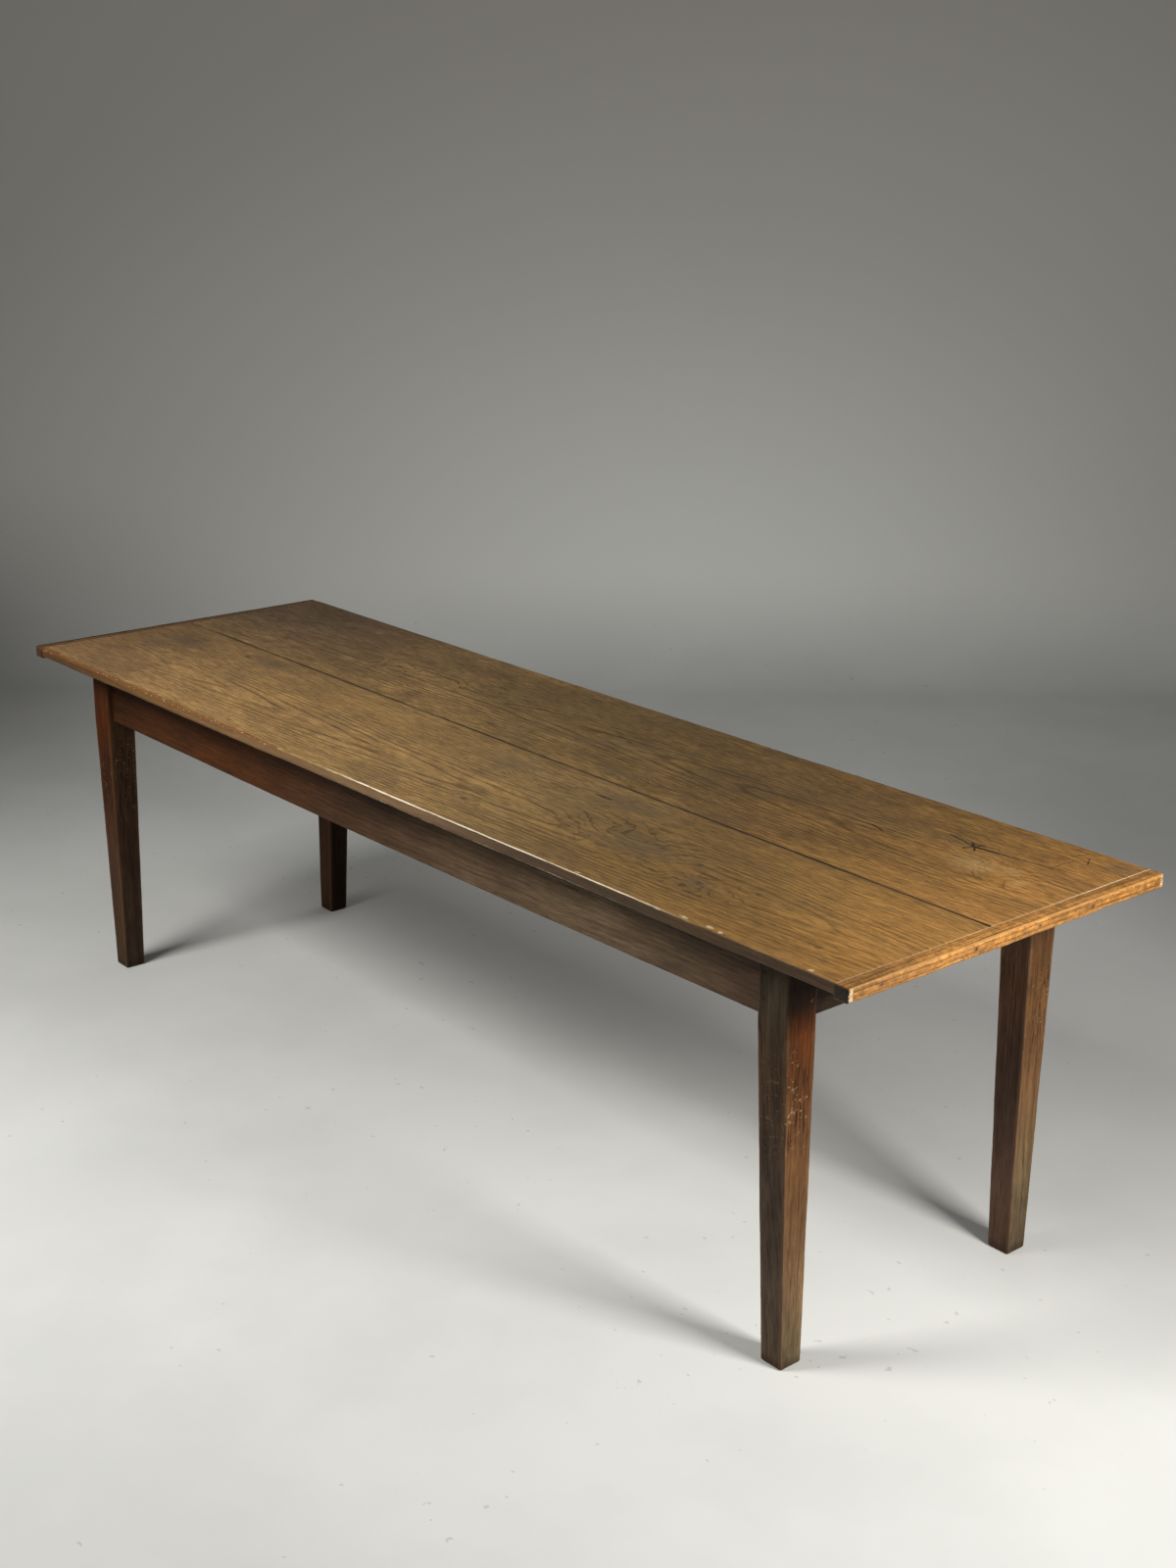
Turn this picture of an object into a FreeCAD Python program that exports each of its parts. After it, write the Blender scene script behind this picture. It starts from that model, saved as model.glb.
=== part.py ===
# A long farmhouse dining table: two wide planks with narrow cleats across their
# ends, on four square tapered legs joined by aprons, with the top held by wooden
# buttons. X runs along the table, Y across it and Z up. The origin is on the
# floor, under the middle of the top. All sizes are in millimetres.

import FreeCAD
import Part
import Sketcher
import os

doc = FreeCAD.newDocument("farmhouse_table")
vector = FreeCAD.Vector

# Driving sizes, one cell each
sizes = {
    # The top
    "table_length": 2580,
    "table_width": 770,
    "table_height": 760,
    "plank_thickness": 22,
    "edge_round": 4,
    "under_round": 6,
    # The seam between the planks runs a little askew
    "seam_left_offset": 14,
    "seam_right_offset": -31,
    "seam_gap": 1.5,
    "seam_tongue_width": 20,
    "seam_tongue_thickness": 7,
    "seam_tongue_stop": 45,
    # The cleats across the ends, and the planks' tongues that they cover
    "cleat_width": 30,
    "cleat_thickness": 26,
    "corner_radius": 4,
    "end_tongue_length": 12,
    "end_tongue_thickness": 8,
    "end_tongue_stop": 25,
    "end_tongue_seam_stop": 8,
    "tongue_centre_drop": 12,
    # The legs
    "end_overhang": 173,
    "side_overhang": 54,
    "leg_top_size": 66,
    "foot_size": 47,
    "foot_end_inset": 0,
    "foot_side_inset": 17,
    "knee_drop": 4,
    "leg_arris": 1.5,
    # The aprons and their tenons
    "apron_height": 118,
    "apron_thickness": 22,
    "apron_setback": 10,
    "apron_arris": 2.5,
    "tenon_length": 30,
    "tenon_thickness": 9,
    "tenon_low_shoulder": 12,
    "tenon_high_shoulder": 20,
    # The pegs through the tenons
    "peg_radius": 4.5,
    "peg_length": 40,
    "peg_inset": 12,
    # The cross rails under the top
    "rail_thickness": 28,
    "rail_height": 70,
    "rail_tenon_length": 10,
    "rail_tenon_thickness": 12,
    "rail_tenon_shoulder": 15,
    # The buttons that hold the top down, and their screws
    "button_width": 32,
    "button_length": 42,
    "button_height": 20,
    "button_set_off": 2,
    "button_tongue_length": 8,
    "button_tongue_thickness": 8,
    "slot_play": 4,
    "screw_inset": 24,
    "screw_radius": 2.2,
    "screw_bite": 14,
    "screw_tip": 5,
    "screw_head_radius": 4.6,
    "screw_head_height": 2.6,
    # The nails through the cleats
    "nail_radius": 1.6,
    "nail_length": 55,
    "nail_tip": 6,
    "nail_tip_radius": 0.4,
    "nail_head_radius": 3.4,
    "nail_head_height": 1.2,
    # Fits
    "joint_clearance": 0.15,
    "bore_clearance": 0.1,
    "depth_relief": 1,
    "overrun": 5,
}

# Places along a piece, as shares of its half length
rail_place_shares = (-0.5, 0, 0.5)
long_button_place_shares = (-0.82, -0.26, 0.26, 0.82)
end_button_place_shares = (-0.5, 0.5)
nail_place_shares = (-0.815, -0.253, 0.147, 0.5, 0.86)
# Heights of the pegs, as shares of the tenon's height
peg_height_shares = (0.25, 0.75)
# Corners count as the same point when they agree to this share of the table's length
same_point_share = 1e-7

sheet = doc.addObject("Spreadsheet::Sheet", "Sizes")
for row, (name, size) in enumerate(sizes.items(), start=1):
    sheet.set(f"A{row}", name)
    sheet.set(f"B{row}", str(size))
    sheet.setAlias(f"B{row}", name)
doc.recompute()

# Places that several pieces share, as formulas on the sheet
half_length = "(Sizes.table_length / 2)"
half_width = "(Sizes.table_width / 2)"
top_z = "Sizes.table_height"
plank_base = "(Sizes.table_height - Sizes.plank_thickness)"
shoulder_x = f"({half_length} - Sizes.cleat_width)"
tongue_tip_x = f"({shoulder_x} + Sizes.end_tongue_length)"
tongue_z = "(Sizes.table_height - Sizes.tongue_centre_drop)"
tongue_outer_y = f"({half_width} - Sizes.end_tongue_stop)"
leg_x = f"({half_length} - Sizes.end_overhang)"
leg_y = f"({half_width} - Sizes.side_overhang)"
inner_x = f"({leg_x} - Sizes.leg_top_size)"
inner_y = f"({leg_y} - Sizes.leg_top_size)"
apron_base = f"({plank_base} - Sizes.apron_height)"
knee_z = f"({apron_base} - Sizes.knee_drop)"
long_apron_y = f"({leg_y} - Sizes.apron_setback - Sizes.apron_thickness / 2)"
end_apron_x = f"({leg_x} - Sizes.apron_setback - Sizes.apron_thickness / 2)"
long_face_y = f"({long_apron_y} - Sizes.apron_thickness / 2)"
end_face_x = f"({end_apron_x} - Sizes.apron_thickness / 2)"
tenon_low = f"({apron_base} + Sizes.tenon_low_shoulder)"
tenon_high = f"({plank_base} - Sizes.tenon_high_shoulder)"
tenon_tip_x = f"({inner_x} + Sizes.tenon_length)"
tenon_tip_y = f"({inner_y} + Sizes.tenon_length)"
peg_x = f"({inner_x} + Sizes.peg_inset)"
peg_y = f"({inner_y} + Sizes.peg_inset)"
peg_heights = [f"({tenon_low} + {share} * ({tenon_high} - {tenon_low}))" for share in peg_height_shares]
button_base = f"({plank_base} - Sizes.button_height)"
rail_base = f"({plank_base} - Sizes.rail_height)"


def value(formula):
    """The size that a formula gives now."""
    return float(sheet.evalExpression(formula))


# Drawing helpers: every corner and radius is tied to a formula

def sketch_on(body, role, lift="0"):
    """A new sketch on one of the body's own origin planes, moved along its normal."""
    sketch = body.newObject("Sketcher::SketchObject", "sketch")
    plane = next(feature for feature in body.Origin.OriginFeatures if feature.Role == role)
    sketch.AttachmentSupport = (plane, [""])
    sketch.MapMode = "FlatFace"
    sketch.setExpression("AttachmentOffset.Base.z", lift)
    return sketch


def tie(sketch, geometry, point, x, y):
    """Hold one point of a sketch at x and y from the sketch's origin."""
    for kind, formula in (("DistanceX", x), ("DistanceY", y)):
        constraint = Sketcher.Constraint(kind, -1, 1, geometry, point, value(formula))
        index = sketch.addConstraint(constraint)
        sketch.setExpression(f"Constraints[{index}]", formula)


def polygon(sketch, corners):
    """A closed outline through the corners."""
    spots = [vector(value(x), value(y), 0) for x, y in corners]
    first = sketch.GeometryCount
    count = len(spots)
    for index in range(count):
        sketch.addGeometry(Part.LineSegment(spots[index], spots[(index + 1) % count]), False)
    for index in range(count):
        following = first + (index + 1) % count
        sketch.addConstraint(Sketcher.Constraint("Coincident", first + index, 2, following, 1))
    for index, (x, y) in enumerate(corners):
        tie(sketch, first + index, 1, x, y)


def rectangle(sketch, x_range, y_range):
    """A rectangle between two x places and two y places."""
    (x0, x1), (y0, y1) = x_range, y_range
    polygon(sketch, [(x0, y0), (x1, y0), (x1, y1), (x0, y1)])


def circle(sketch, x, y, radius):
    """A circle about a point."""
    arc = Part.Circle(vector(value(x), value(y), 0), vector(0, 0, 1), value(radius))
    index = sketch.addGeometry(arc, False)
    tie(sketch, index, 3, x, y)
    constraint = sketch.addConstraint(Sketcher.Constraint("Radius", index, value(radius)))
    sketch.setExpression(f"Constraints[{constraint}]", radius)


# Feature helpers

def new_body(label):
    """An empty body with the node's name."""
    body = doc.addObject("PartDesign::Body", label)
    body.Label = label
    return body


def pad(body, sketch, length, symmetric=False):
    """Raise a sketch along its normal, or to both sides of its plane."""
    feature = body.newObject("PartDesign::Pad", "pad")
    feature.Profile = sketch
    feature.SideType = "Symmetric" if symmetric else "One side"
    feature.setExpression("Length", length)
    doc.recompute()


def pocket(body, sketch, depth, symmetric=False, along_normal=False):
    """Cut a sketch into the body, against its normal unless told otherwise."""
    before = body.Shape.Volume
    feature = body.newObject("PartDesign::Pocket", "pocket")
    feature.Profile = sketch
    feature.SideType = "Symmetric" if symmetric else "One side"
    feature.Reversed = along_normal
    feature.setExpression("Length", depth)
    doc.recompute()
    if not body.Shape.Volume < before:
        raise RuntimeError(f"{body.Label}: a pocket cut nothing")


def edges_where(body, test):
    """The names of the edges whose end points all pass the test."""
    found = []
    for index, edge in enumerate(body.Shape.Edges, start=1):
        if all(test(vertex.Point) for vertex in edge.Vertexes):
            found.append(f"Edge{index}")
    return found


def dress(body, kind, edges, size):
    """Round or chamfer some edges of the body's last feature."""
    base = body.Tip
    feature = body.newObject(f"PartDesign::{kind}", kind.lower())
    feature.Base = (base, edges)
    feature.setExpression("Radius" if kind == "Fillet" else "Size", size)
    doc.recompute()


def same(place, formula):
    """Whether a coordinate lies at a formula's place."""
    return abs(place - value(formula)) < same_point_share * value("Sizes.table_length")


def place(target, x, y, z, axis=vector(0, 0, 1), angle=0):
    """Turn a piece about an axis, then move its origin to x, y, z."""
    target.Placement = FreeCAD.Placement(vector(0, 0, 0), FreeCAD.Rotation(axis, angle))
    for letter, formula in zip("xyz", (x, y, z)):
        target.setExpression(f"Placement.Base.{letter}", formula)


def cylinder(radius, height):
    """A plain cylinder along its own Z axis."""
    rod = doc.addObject("Part::Cylinder", "rod")
    rod.setExpression("Radius", radius)
    rod.setExpression("Height", height)
    return rod


def cone(radius, tip_radius, height):
    """A cone along its own Z axis, pointing up."""
    point = doc.addObject("Part::Cone", "point")
    point.setExpression("Radius1", radius)
    point.setExpression("Radius2", tip_radius)
    point.setExpression("Height", height)
    return point


def fuse(pieces):
    """One solid from several."""
    joined = doc.addObject("Part::MultiFuse", "joined")
    joined.Shapes = pieces
    return joined


def group(label, pieces):
    """Separate like pieces under one name."""
    bundle = doc.addObject("Part::Compound", label)
    bundle.Label = label
    bundle.Links = pieces
    return bundle


def span(sign, near, far):
    """Two places on the same side of the middle."""
    return f"({sign} * {near})", f"({sign} * {far})"


def about(middle, half_size):
    """Two places on either side of a middle place."""
    return f"({middle} - {half_size})", f"({middle} + {half_size})"


ends = (("left", -1), ("right", 1))
sides = (("front", -1), ("back", 1))
nodes = []

# Where the buttons go: the apron's inner face, the turn, and the screw's place
button_places = []
for side_name, side in sides:
    for number, share in enumerate(long_button_place_shares, start=1):
        x = f"({share} * {inner_x})"
        button_places.append({
            "label": f"button_{side_name}_{number}",
            "face": (x, f"({side} * {long_face_y})"),
            "turn": 0 if side < 0 else 180,
            "screw": (x, f"({side} * ({long_face_y} - Sizes.screw_inset))"),
            "plank": side,
        })
for end_name, end in ends:
    for number, share in enumerate(end_button_place_shares, start=1):
        y = f"({share} * {inner_y})"
        button_places.append({
            "label": f"button_{end_name}_{number}",
            "face": (f"({end} * {end_face_x})", y),
            "turn": 90 * end,
            "screw": (f"({end} * ({end_face_x} - Sizes.screw_inset))", y),
            "plank": -1 if share < 0 else 1,
        })

nail_places = [f"({share} * {half_width})" for share in nail_place_shares]


def seam_y(x):
    """The middle of the seam at a place along the table."""
    slope = f"(Sizes.seam_right_offset - Sizes.seam_left_offset) / (2 * {shoulder_x})"
    return f"((Sizes.seam_right_offset + Sizes.seam_left_offset) / 2 + {slope} * {x})"


# The two planks, with a tongue at each end and a groove along the seam
seam_tongue_x = f"({shoulder_x} - Sizes.seam_tongue_stop)"
groove_x = f"({seam_tongue_x} + Sizes.depth_relief)"
groove_half = "(Sizes.seam_tongue_width / 2 + Sizes.depth_relief)"
groove_thickness = "(Sizes.seam_tongue_thickness + 2 * Sizes.joint_clearance)"
groove_base = f"({tongue_z} - {groove_thickness} / 2)"
for side_name, side in sides:
    plank = new_body(f"top_plank_{side_name}")
    outer_y = f"({side} * {half_width})"
    outline = sketch_on(plank, "XY_Plane", plank_base)
    polygon(outline, [
        (f"-{shoulder_x}", outer_y),
        (shoulder_x, outer_y),
        (shoulder_x, f"({seam_y(shoulder_x)} + {side} * Sizes.seam_gap / 2)"),
        (f"-{shoulder_x}", f"({seam_y('-' + shoulder_x)} + {side} * Sizes.seam_gap / 2)"),
    ])
    pad(plank, outline, "Sizes.plank_thickness")
    tongues = sketch_on(plank, "XY_Plane", f"{tongue_z} - Sizes.end_tongue_thickness / 2")
    for end_name, end in ends:
        seam_stop = f"{seam_y(f'({end} * {shoulder_x})')} + {side} * Sizes.end_tongue_seam_stop"
        across = (f"({side} * {tongue_outer_y})", f"({seam_stop})")
        rectangle(tongues, span(end, shoulder_x, tongue_tip_x), across)
    pad(plank, tongues, "Sizes.end_tongue_thickness")
    groove = sketch_on(plank, "XY_Plane", groove_base)
    polygon(groove, [
        (f"-{groove_x}", f"({seam_y('-' + groove_x)} - {groove_half})"),
        (groove_x, f"({seam_y(groove_x)} - {groove_half})"),
        (groove_x, f"({seam_y(groove_x)} + {groove_half})"),
        (f"-{groove_x}", f"({seam_y('-' + groove_x)} + {groove_half})"),
    ])
    pocket(plank, groove, groove_thickness, along_normal=True)
    pilots = sketch_on(plank, "XY_Plane", plank_base)
    for spot in button_places:
        if spot["plank"] == side:
            circle(pilots, *spot["screw"], "(Sizes.screw_radius + Sizes.bore_clearance)")
    pocket(plank, pilots, "Sizes.screw_bite + Sizes.depth_relief", along_normal=True)
    for end_name, end in ends:
        holes = sketch_on(plank, "YZ_Plane", f"{end} * {tongue_tip_x}")
        for y in nail_places:
            if value(y) * side > 0:
                circle(holes, y, tongue_z, "(Sizes.nail_radius + Sizes.bore_clearance)")
        depth = "Sizes.nail_length + Sizes.depth_relief - Sizes.cleat_width + Sizes.end_tongue_length"
        pocket(plank, holes, depth, along_normal=end < 0)
    for z, size in ((top_z, "Sizes.edge_round"), (plank_base, "Sizes.under_round")):
        dress(plank, "Fillet", edges_where(plank, lambda p: same(p.y, outer_y) and same(p.z, z)), size)
    nodes.append(plank)

# The loose tongue in the seam
seam_tongue = new_body("seam_tongue")
outline = sketch_on(seam_tongue, "XY_Plane", tongue_z)
half_tongue = "Sizes.seam_tongue_width / 2"
polygon(outline, [
    (f"-{seam_tongue_x}", f"({seam_y('-' + seam_tongue_x)} - {half_tongue})"),
    (seam_tongue_x, f"({seam_y(seam_tongue_x)} - {half_tongue})"),
    (seam_tongue_x, f"({seam_y(seam_tongue_x)} + {half_tongue})"),
    (f"-{seam_tongue_x}", f"({seam_y('-' + seam_tongue_x)} + {half_tongue})"),
])
pad(seam_tongue, outline, "Sizes.seam_tongue_thickness", symmetric=True)
nodes.append(seam_tongue)

# The cleats, grooved over the planks' tongues, with rounded outer corners
cleat_base = "(Sizes.table_height - Sizes.cleat_thickness)"
for end_name, end in ends:
    cleat = new_body(f"end_cleat_{end_name}")
    outline = sketch_on(cleat, "XY_Plane", cleat_base)
    rectangle(outline, span(end, shoulder_x, half_length), (f"-{half_width}", half_width))
    pad(cleat, outline, "Sizes.cleat_thickness")
    groove_height = "(Sizes.end_tongue_thickness + 2 * Sizes.joint_clearance)"
    groove = sketch_on(cleat, "XY_Plane", f"{tongue_z} - {groove_height} / 2")
    groove_end = f"({tongue_outer_y} + Sizes.depth_relief)"
    floor_x = f"({tongue_tip_x} + Sizes.depth_relief)"
    rectangle(groove, span(end, shoulder_x, floor_x), (f"-{groove_end}", groove_end))
    pocket(cleat, groove, groove_height, along_normal=True)
    for radius, depth in (
        ("Sizes.nail_head_radius", "Sizes.nail_head_height"),
        ("Sizes.nail_radius", "Sizes.cleat_width + Sizes.overrun"),
    ):
        holes = sketch_on(cleat, "YZ_Plane", f"{end} * {half_length}")
        for y in nail_places:
            circle(holes, y, tongue_z, f"({radius} + Sizes.bore_clearance)")
        pocket(cleat, holes, depth, along_normal=end < 0)
    outer_x = f"({end} * {half_length})"
    seat_x = f"({end} * {shoulder_x})"
    corners = []
    for side_name, side in sides:
        outer_y = f"({side} * {half_width})"
        corners += edges_where(cleat, lambda p: same(p.x, outer_x) and same(p.y, outer_y))
    dress(cleat, "Fillet", corners, "Sizes.corner_radius")
    for z, size in ((top_z, "Sizes.edge_round"), (cleat_base, "Sizes.under_round")):
        rim = edges_where(cleat, lambda p: same(p.z, z))
        seat = edges_where(cleat, lambda p: same(p.z, z) and same(p.x, seat_x))
        dress(cleat, "Fillet", [edge for edge in rim if edge not in seat], size)
    nodes.append(cleat)

# The nails through the cleats into the planks' ends
nails = []
for end_name, end in ends:
    for y in nail_places:
        head = cylinder("Sizes.nail_head_radius", "Sizes.nail_head_height")
        place(head, f"{end} * {half_length}", y, tongue_z, vector(0, 1, 0), -90 * end)
        shank = cylinder("Sizes.nail_radius", "Sizes.nail_length - Sizes.nail_head_height - Sizes.nail_tip")
        shank_x = f"{end} * ({half_length} - Sizes.nail_head_height)"
        place(shank, shank_x, y, tongue_z, vector(0, 1, 0), -90 * end)
        tip = cone("Sizes.nail_radius", "Sizes.nail_tip_radius", "Sizes.nail_tip")
        tip_x = f"{end} * ({half_length} - Sizes.nail_length + Sizes.nail_tip)"
        place(tip, tip_x, y, tongue_z, vector(0, 1, 0), -90 * end)
        nails.append(fuse([head, shank, tip]))
nodes.append(group("cleat_nails", nails))


def leg_section(leg, end, side, height, fall, corner):
    """The leg's cut-cornered section at a height, a share of the way down its taper."""
    width = f"(Sizes.leg_top_size + (Sizes.foot_size - Sizes.leg_top_size) * {fall})"
    x_far = f"({leg_x} - Sizes.foot_end_inset * {fall})"
    y_far = f"({leg_y} - Sizes.foot_side_inset * {fall})"
    x_near = f"({x_far} - {width})"
    y_near = f"({y_far} - {width})"
    sketch = sketch_on(leg, "XY_Plane", height)
    corners = [
        (f"{x_near} + {corner}", y_near),
        (f"{x_far} - {corner}", y_near),
        (x_far, f"{y_near} + {corner}"),
        (x_far, f"{y_far} - {corner}"),
        (f"{x_far} - {corner}", y_far),
        (f"{x_near} + {corner}", y_far),
        (x_near, f"{y_far} - {corner}"),
        (x_near, f"{y_near} + {corner}"),
    ]
    polygon(sketch, [(f"({end} * ({x}))", f"({side} * ({y}))") for x, y in corners])
    return sketch


# The legs: a straight block at the aprons, then a taper to the floor, with eased arrises
mortise_z = (f"({tenon_low} - Sizes.joint_clearance)", f"({tenon_high} + Sizes.joint_clearance)")
mortise_half = "(Sizes.tenon_thickness / 2 + Sizes.joint_clearance)"
mortise_depth = "Sizes.tenon_length + Sizes.depth_relief"
peg_bore = "(Sizes.peg_radius + Sizes.bore_clearance)"
peg_depth = "Sizes.peg_length + Sizes.depth_relief"
for end_name, end in ends:
    for side_name, side in sides:
        leg = new_body(f"leg_{side_name}_{end_name}")
        stations = (
            ("0", "1", "Sizes.leg_arris"),
            (knee_z, "0", "Sizes.leg_arris"),
            (plank_base, "0", "Sizes.leg_arris"),
        )
        sections = [leg_section(leg, end, side, *station) for station in stations]
        doc.recompute()
        loft = leg.newObject("PartDesign::AdditiveLoft", "loft")
        loft.Profile = sections[0]
        loft.Sections = sections[1:]
        loft.Ruled = True
        doc.recompute()
        long_mortise = sketch_on(leg, "YZ_Plane", f"{end} * {inner_x}")
        rectangle(long_mortise, about(f"{side} * {long_apron_y}", mortise_half), mortise_z)
        pocket(leg, long_mortise, mortise_depth, along_normal=end > 0)
        end_mortise = sketch_on(leg, "XZ_Plane", f"{-side} * {inner_y}")
        rectangle(end_mortise, about(f"{end} * {end_apron_x}", mortise_half), mortise_z)
        pocket(leg, end_mortise, mortise_depth, along_normal=side < 0)
        long_bores = sketch_on(leg, "XZ_Plane", f"{-side} * {leg_y}")
        end_bores = sketch_on(leg, "YZ_Plane", f"{end} * {leg_x}")
        for z in peg_heights:
            circle(long_bores, f"({end} * {peg_x})", z, peg_bore)
            circle(end_bores, f"({side} * {peg_y})", z, peg_bore)
        pocket(leg, long_bores, peg_depth, along_normal=side > 0)
        pocket(leg, end_bores, peg_depth, along_normal=end < 0)
        nodes.append(leg)

# The pegs that hold the tenons
pegs = []
for end_name, end in ends:
    for side_name, side in sides:
        for z in peg_heights:
            long_peg = cylinder("Sizes.peg_radius", "Sizes.peg_length")
            place(long_peg, f"{end} * {peg_x}", f"{side} * {leg_y}", z, vector(1, 0, 0), 90 * side)
            end_peg = cylinder("Sizes.peg_radius", "Sizes.peg_length")
            place(end_peg, f"{end} * {leg_x}", f"{side} * {peg_y}", z, vector(0, 1, 0), -90 * end)
            pegs += [long_peg, end_peg]
nodes.append(group("joint_pegs", pegs))

# Slots for the buttons' tongues, and mortises for the rails
slot_half = "(Sizes.button_width / 2 + Sizes.slot_play)"
slot_z = (
    f"({button_base} - Sizes.joint_clearance)",
    f"({button_base} + Sizes.button_tongue_thickness + Sizes.joint_clearance)",
)
slot_depth = "Sizes.button_tongue_length - Sizes.button_set_off + Sizes.depth_relief"
rail_mortise_half = "(Sizes.rail_tenon_thickness / 2 + Sizes.joint_clearance)"
rail_tenon_z = (f"({rail_base} + Sizes.rail_tenon_shoulder)", f"({plank_base} - Sizes.rail_tenon_shoulder)")
rail_mortise_z = (
    f"({rail_tenon_z[0]} - Sizes.joint_clearance)",
    f"({rail_tenon_z[1]} + Sizes.joint_clearance)",
)

# The long aprons
for side_name, side in sides:
    apron = new_body(f"apron_{side_name}")
    middle = f"{-side} * {long_apron_y}"
    board = sketch_on(apron, "XZ_Plane", middle)
    rectangle(board, (f"-{inner_x}", inner_x), (apron_base, plank_base))
    pad(apron, board, "Sizes.apron_thickness", symmetric=True)
    tenons = sketch_on(apron, "XZ_Plane", middle)
    bores = sketch_on(apron, "XZ_Plane", middle)
    for end_name, end in ends:
        rectangle(tenons, span(end, inner_x, tenon_tip_x), (tenon_low, tenon_high))
        for z in peg_heights:
            circle(bores, f"({end} * {peg_x})", z, peg_bore)
    pad(apron, tenons, "Sizes.tenon_thickness", symmetric=True)
    pocket(apron, bores, "Sizes.tenon_thickness + Sizes.overrun", symmetric=True)
    slots = sketch_on(apron, "XZ_Plane", f"{-side} * {long_face_y}")
    for share in long_button_place_shares:
        rectangle(slots, about(f"{share} * {inner_x}", slot_half), slot_z)
    pocket(apron, slots, slot_depth, along_normal=side < 0)
    mortises = sketch_on(apron, "XZ_Plane", f"{-side} * {long_face_y}")
    for share in rail_place_shares:
        rectangle(mortises, about(f"{share} * {inner_x}", rail_mortise_half), rail_mortise_z)
    pocket(apron, mortises, "Sizes.rail_tenon_length + Sizes.depth_relief", along_normal=side < 0)
    show_y = f"({side} * ({long_apron_y} + Sizes.apron_thickness / 2))"
    lower = edges_where(apron, lambda p: same(p.y, show_y) and same(p.z, apron_base))
    dress(apron, "Chamfer", lower, "Sizes.apron_arris")
    nodes.append(apron)

# The end aprons
for end_name, end in ends:
    apron = new_body(f"apron_{end_name}")
    middle = f"{end} * {end_apron_x}"
    board = sketch_on(apron, "YZ_Plane", middle)
    rectangle(board, (f"-{inner_y}", inner_y), (apron_base, plank_base))
    pad(apron, board, "Sizes.apron_thickness", symmetric=True)
    tenons = sketch_on(apron, "YZ_Plane", middle)
    bores = sketch_on(apron, "YZ_Plane", middle)
    for side_name, side in sides:
        rectangle(tenons, span(side, inner_y, tenon_tip_y), (tenon_low, tenon_high))
        for z in peg_heights:
            circle(bores, f"({side} * {peg_y})", z, peg_bore)
    pad(apron, tenons, "Sizes.tenon_thickness", symmetric=True)
    pocket(apron, bores, "Sizes.tenon_thickness + Sizes.overrun", symmetric=True)
    slots = sketch_on(apron, "YZ_Plane", f"{end} * {end_face_x}")
    for share in end_button_place_shares:
        rectangle(slots, about(f"{share} * {inner_y}", slot_half), slot_z)
    pocket(apron, slots, slot_depth, along_normal=end > 0)
    show_x = f"({end} * ({end_apron_x} + Sizes.apron_thickness / 2))"
    lower = edges_where(apron, lambda p: same(p.x, show_x) and same(p.z, apron_base))
    dress(apron, "Chamfer", lower, "Sizes.apron_arris")
    nodes.append(apron)

# The cross rails between the long aprons
for number, share in enumerate(rail_place_shares, start=1):
    rail = new_body(f"cross_rail_{number}")
    middle = f"{share} * {inner_x}"
    bar = sketch_on(rail, "YZ_Plane", middle)
    rectangle(bar, (f"-{long_face_y}", long_face_y), (rail_base, plank_base))
    pad(rail, bar, "Sizes.rail_thickness", symmetric=True)
    tenons = sketch_on(rail, "YZ_Plane", middle)
    for side_name, side in sides:
        tip_y = f"({long_face_y} + Sizes.rail_tenon_length)"
        rectangle(tenons, span(side, long_face_y, tip_y), rail_tenon_z)
    pad(rail, tenons, "Sizes.rail_tenon_thickness", symmetric=True)
    nodes.append(rail)

# The buttons: drawn with the apron's inner face at y = 0 and the top's underside at z = 0
screws = []
for spot in button_places:
    button = new_body(spot["label"])
    outline = sketch_on(button, "YZ_Plane")
    tongue_y = "(Sizes.button_set_off - Sizes.button_tongue_length)"
    tongue_top = "(Sizes.button_tongue_thickness - Sizes.button_height)"
    polygon(outline, [
        ("Sizes.button_set_off", "0"),
        ("Sizes.button_length", "0"),
        ("Sizes.button_length", "-Sizes.button_height"),
        (tongue_y, "-Sizes.button_height"),
        (tongue_y, tongue_top),
        ("Sizes.button_set_off", tongue_top),
    ])
    pad(button, outline, "Sizes.button_width", symmetric=True)
    hole = sketch_on(button, "XY_Plane")
    circle(hole, "0", "Sizes.screw_inset", "(Sizes.screw_radius + Sizes.bore_clearance)")
    pocket(button, hole, "Sizes.button_height + Sizes.overrun")
    place(button, *spot["face"], plank_base, angle=spot["turn"])
    nodes.append(button)
    head = cylinder("Sizes.screw_head_radius", "Sizes.screw_head_height")
    place(head, *spot["screw"], f"{button_base} - Sizes.screw_head_height")
    shank = cylinder("Sizes.screw_radius", "Sizes.button_height + Sizes.screw_bite - Sizes.screw_tip")
    place(shank, *spot["screw"], button_base)
    tip = cone("Sizes.screw_radius", "0", "Sizes.screw_tip")
    place(tip, *spot["screw"], f"{plank_base} + Sizes.screw_bite - Sizes.screw_tip")
    screws.append(fuse([head, shank, tip]))
nodes.append(group("button_screws", screws))

# Check everything, then write one file for each node
doc.recompute()
for item in doc.Objects:
    if "Invalid" in item.State or "Error" in item.State:
        raise RuntimeError(f"{item.Label} failed: {item.State}")
for node in nodes:
    shape = node.Shape
    if shape.isNull() or not shape.isValid():
        raise RuntimeError(f"{node.Label} has no valid shape")
    expected = len(node.Links) if node.TypeId == "Part::Compound" else 1
    if len(shape.Solids) != expected:
        raise RuntimeError(f"{node.Label} has {len(shape.Solids)} solids, not {expected}")
os.makedirs("parts", exist_ok=True)
for node in nodes:
    node.Shape.exportStep(f"parts/{node.Label}.step")
    print(node.Label, len(node.Shape.Solids), round(node.Shape.Volume))
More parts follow.
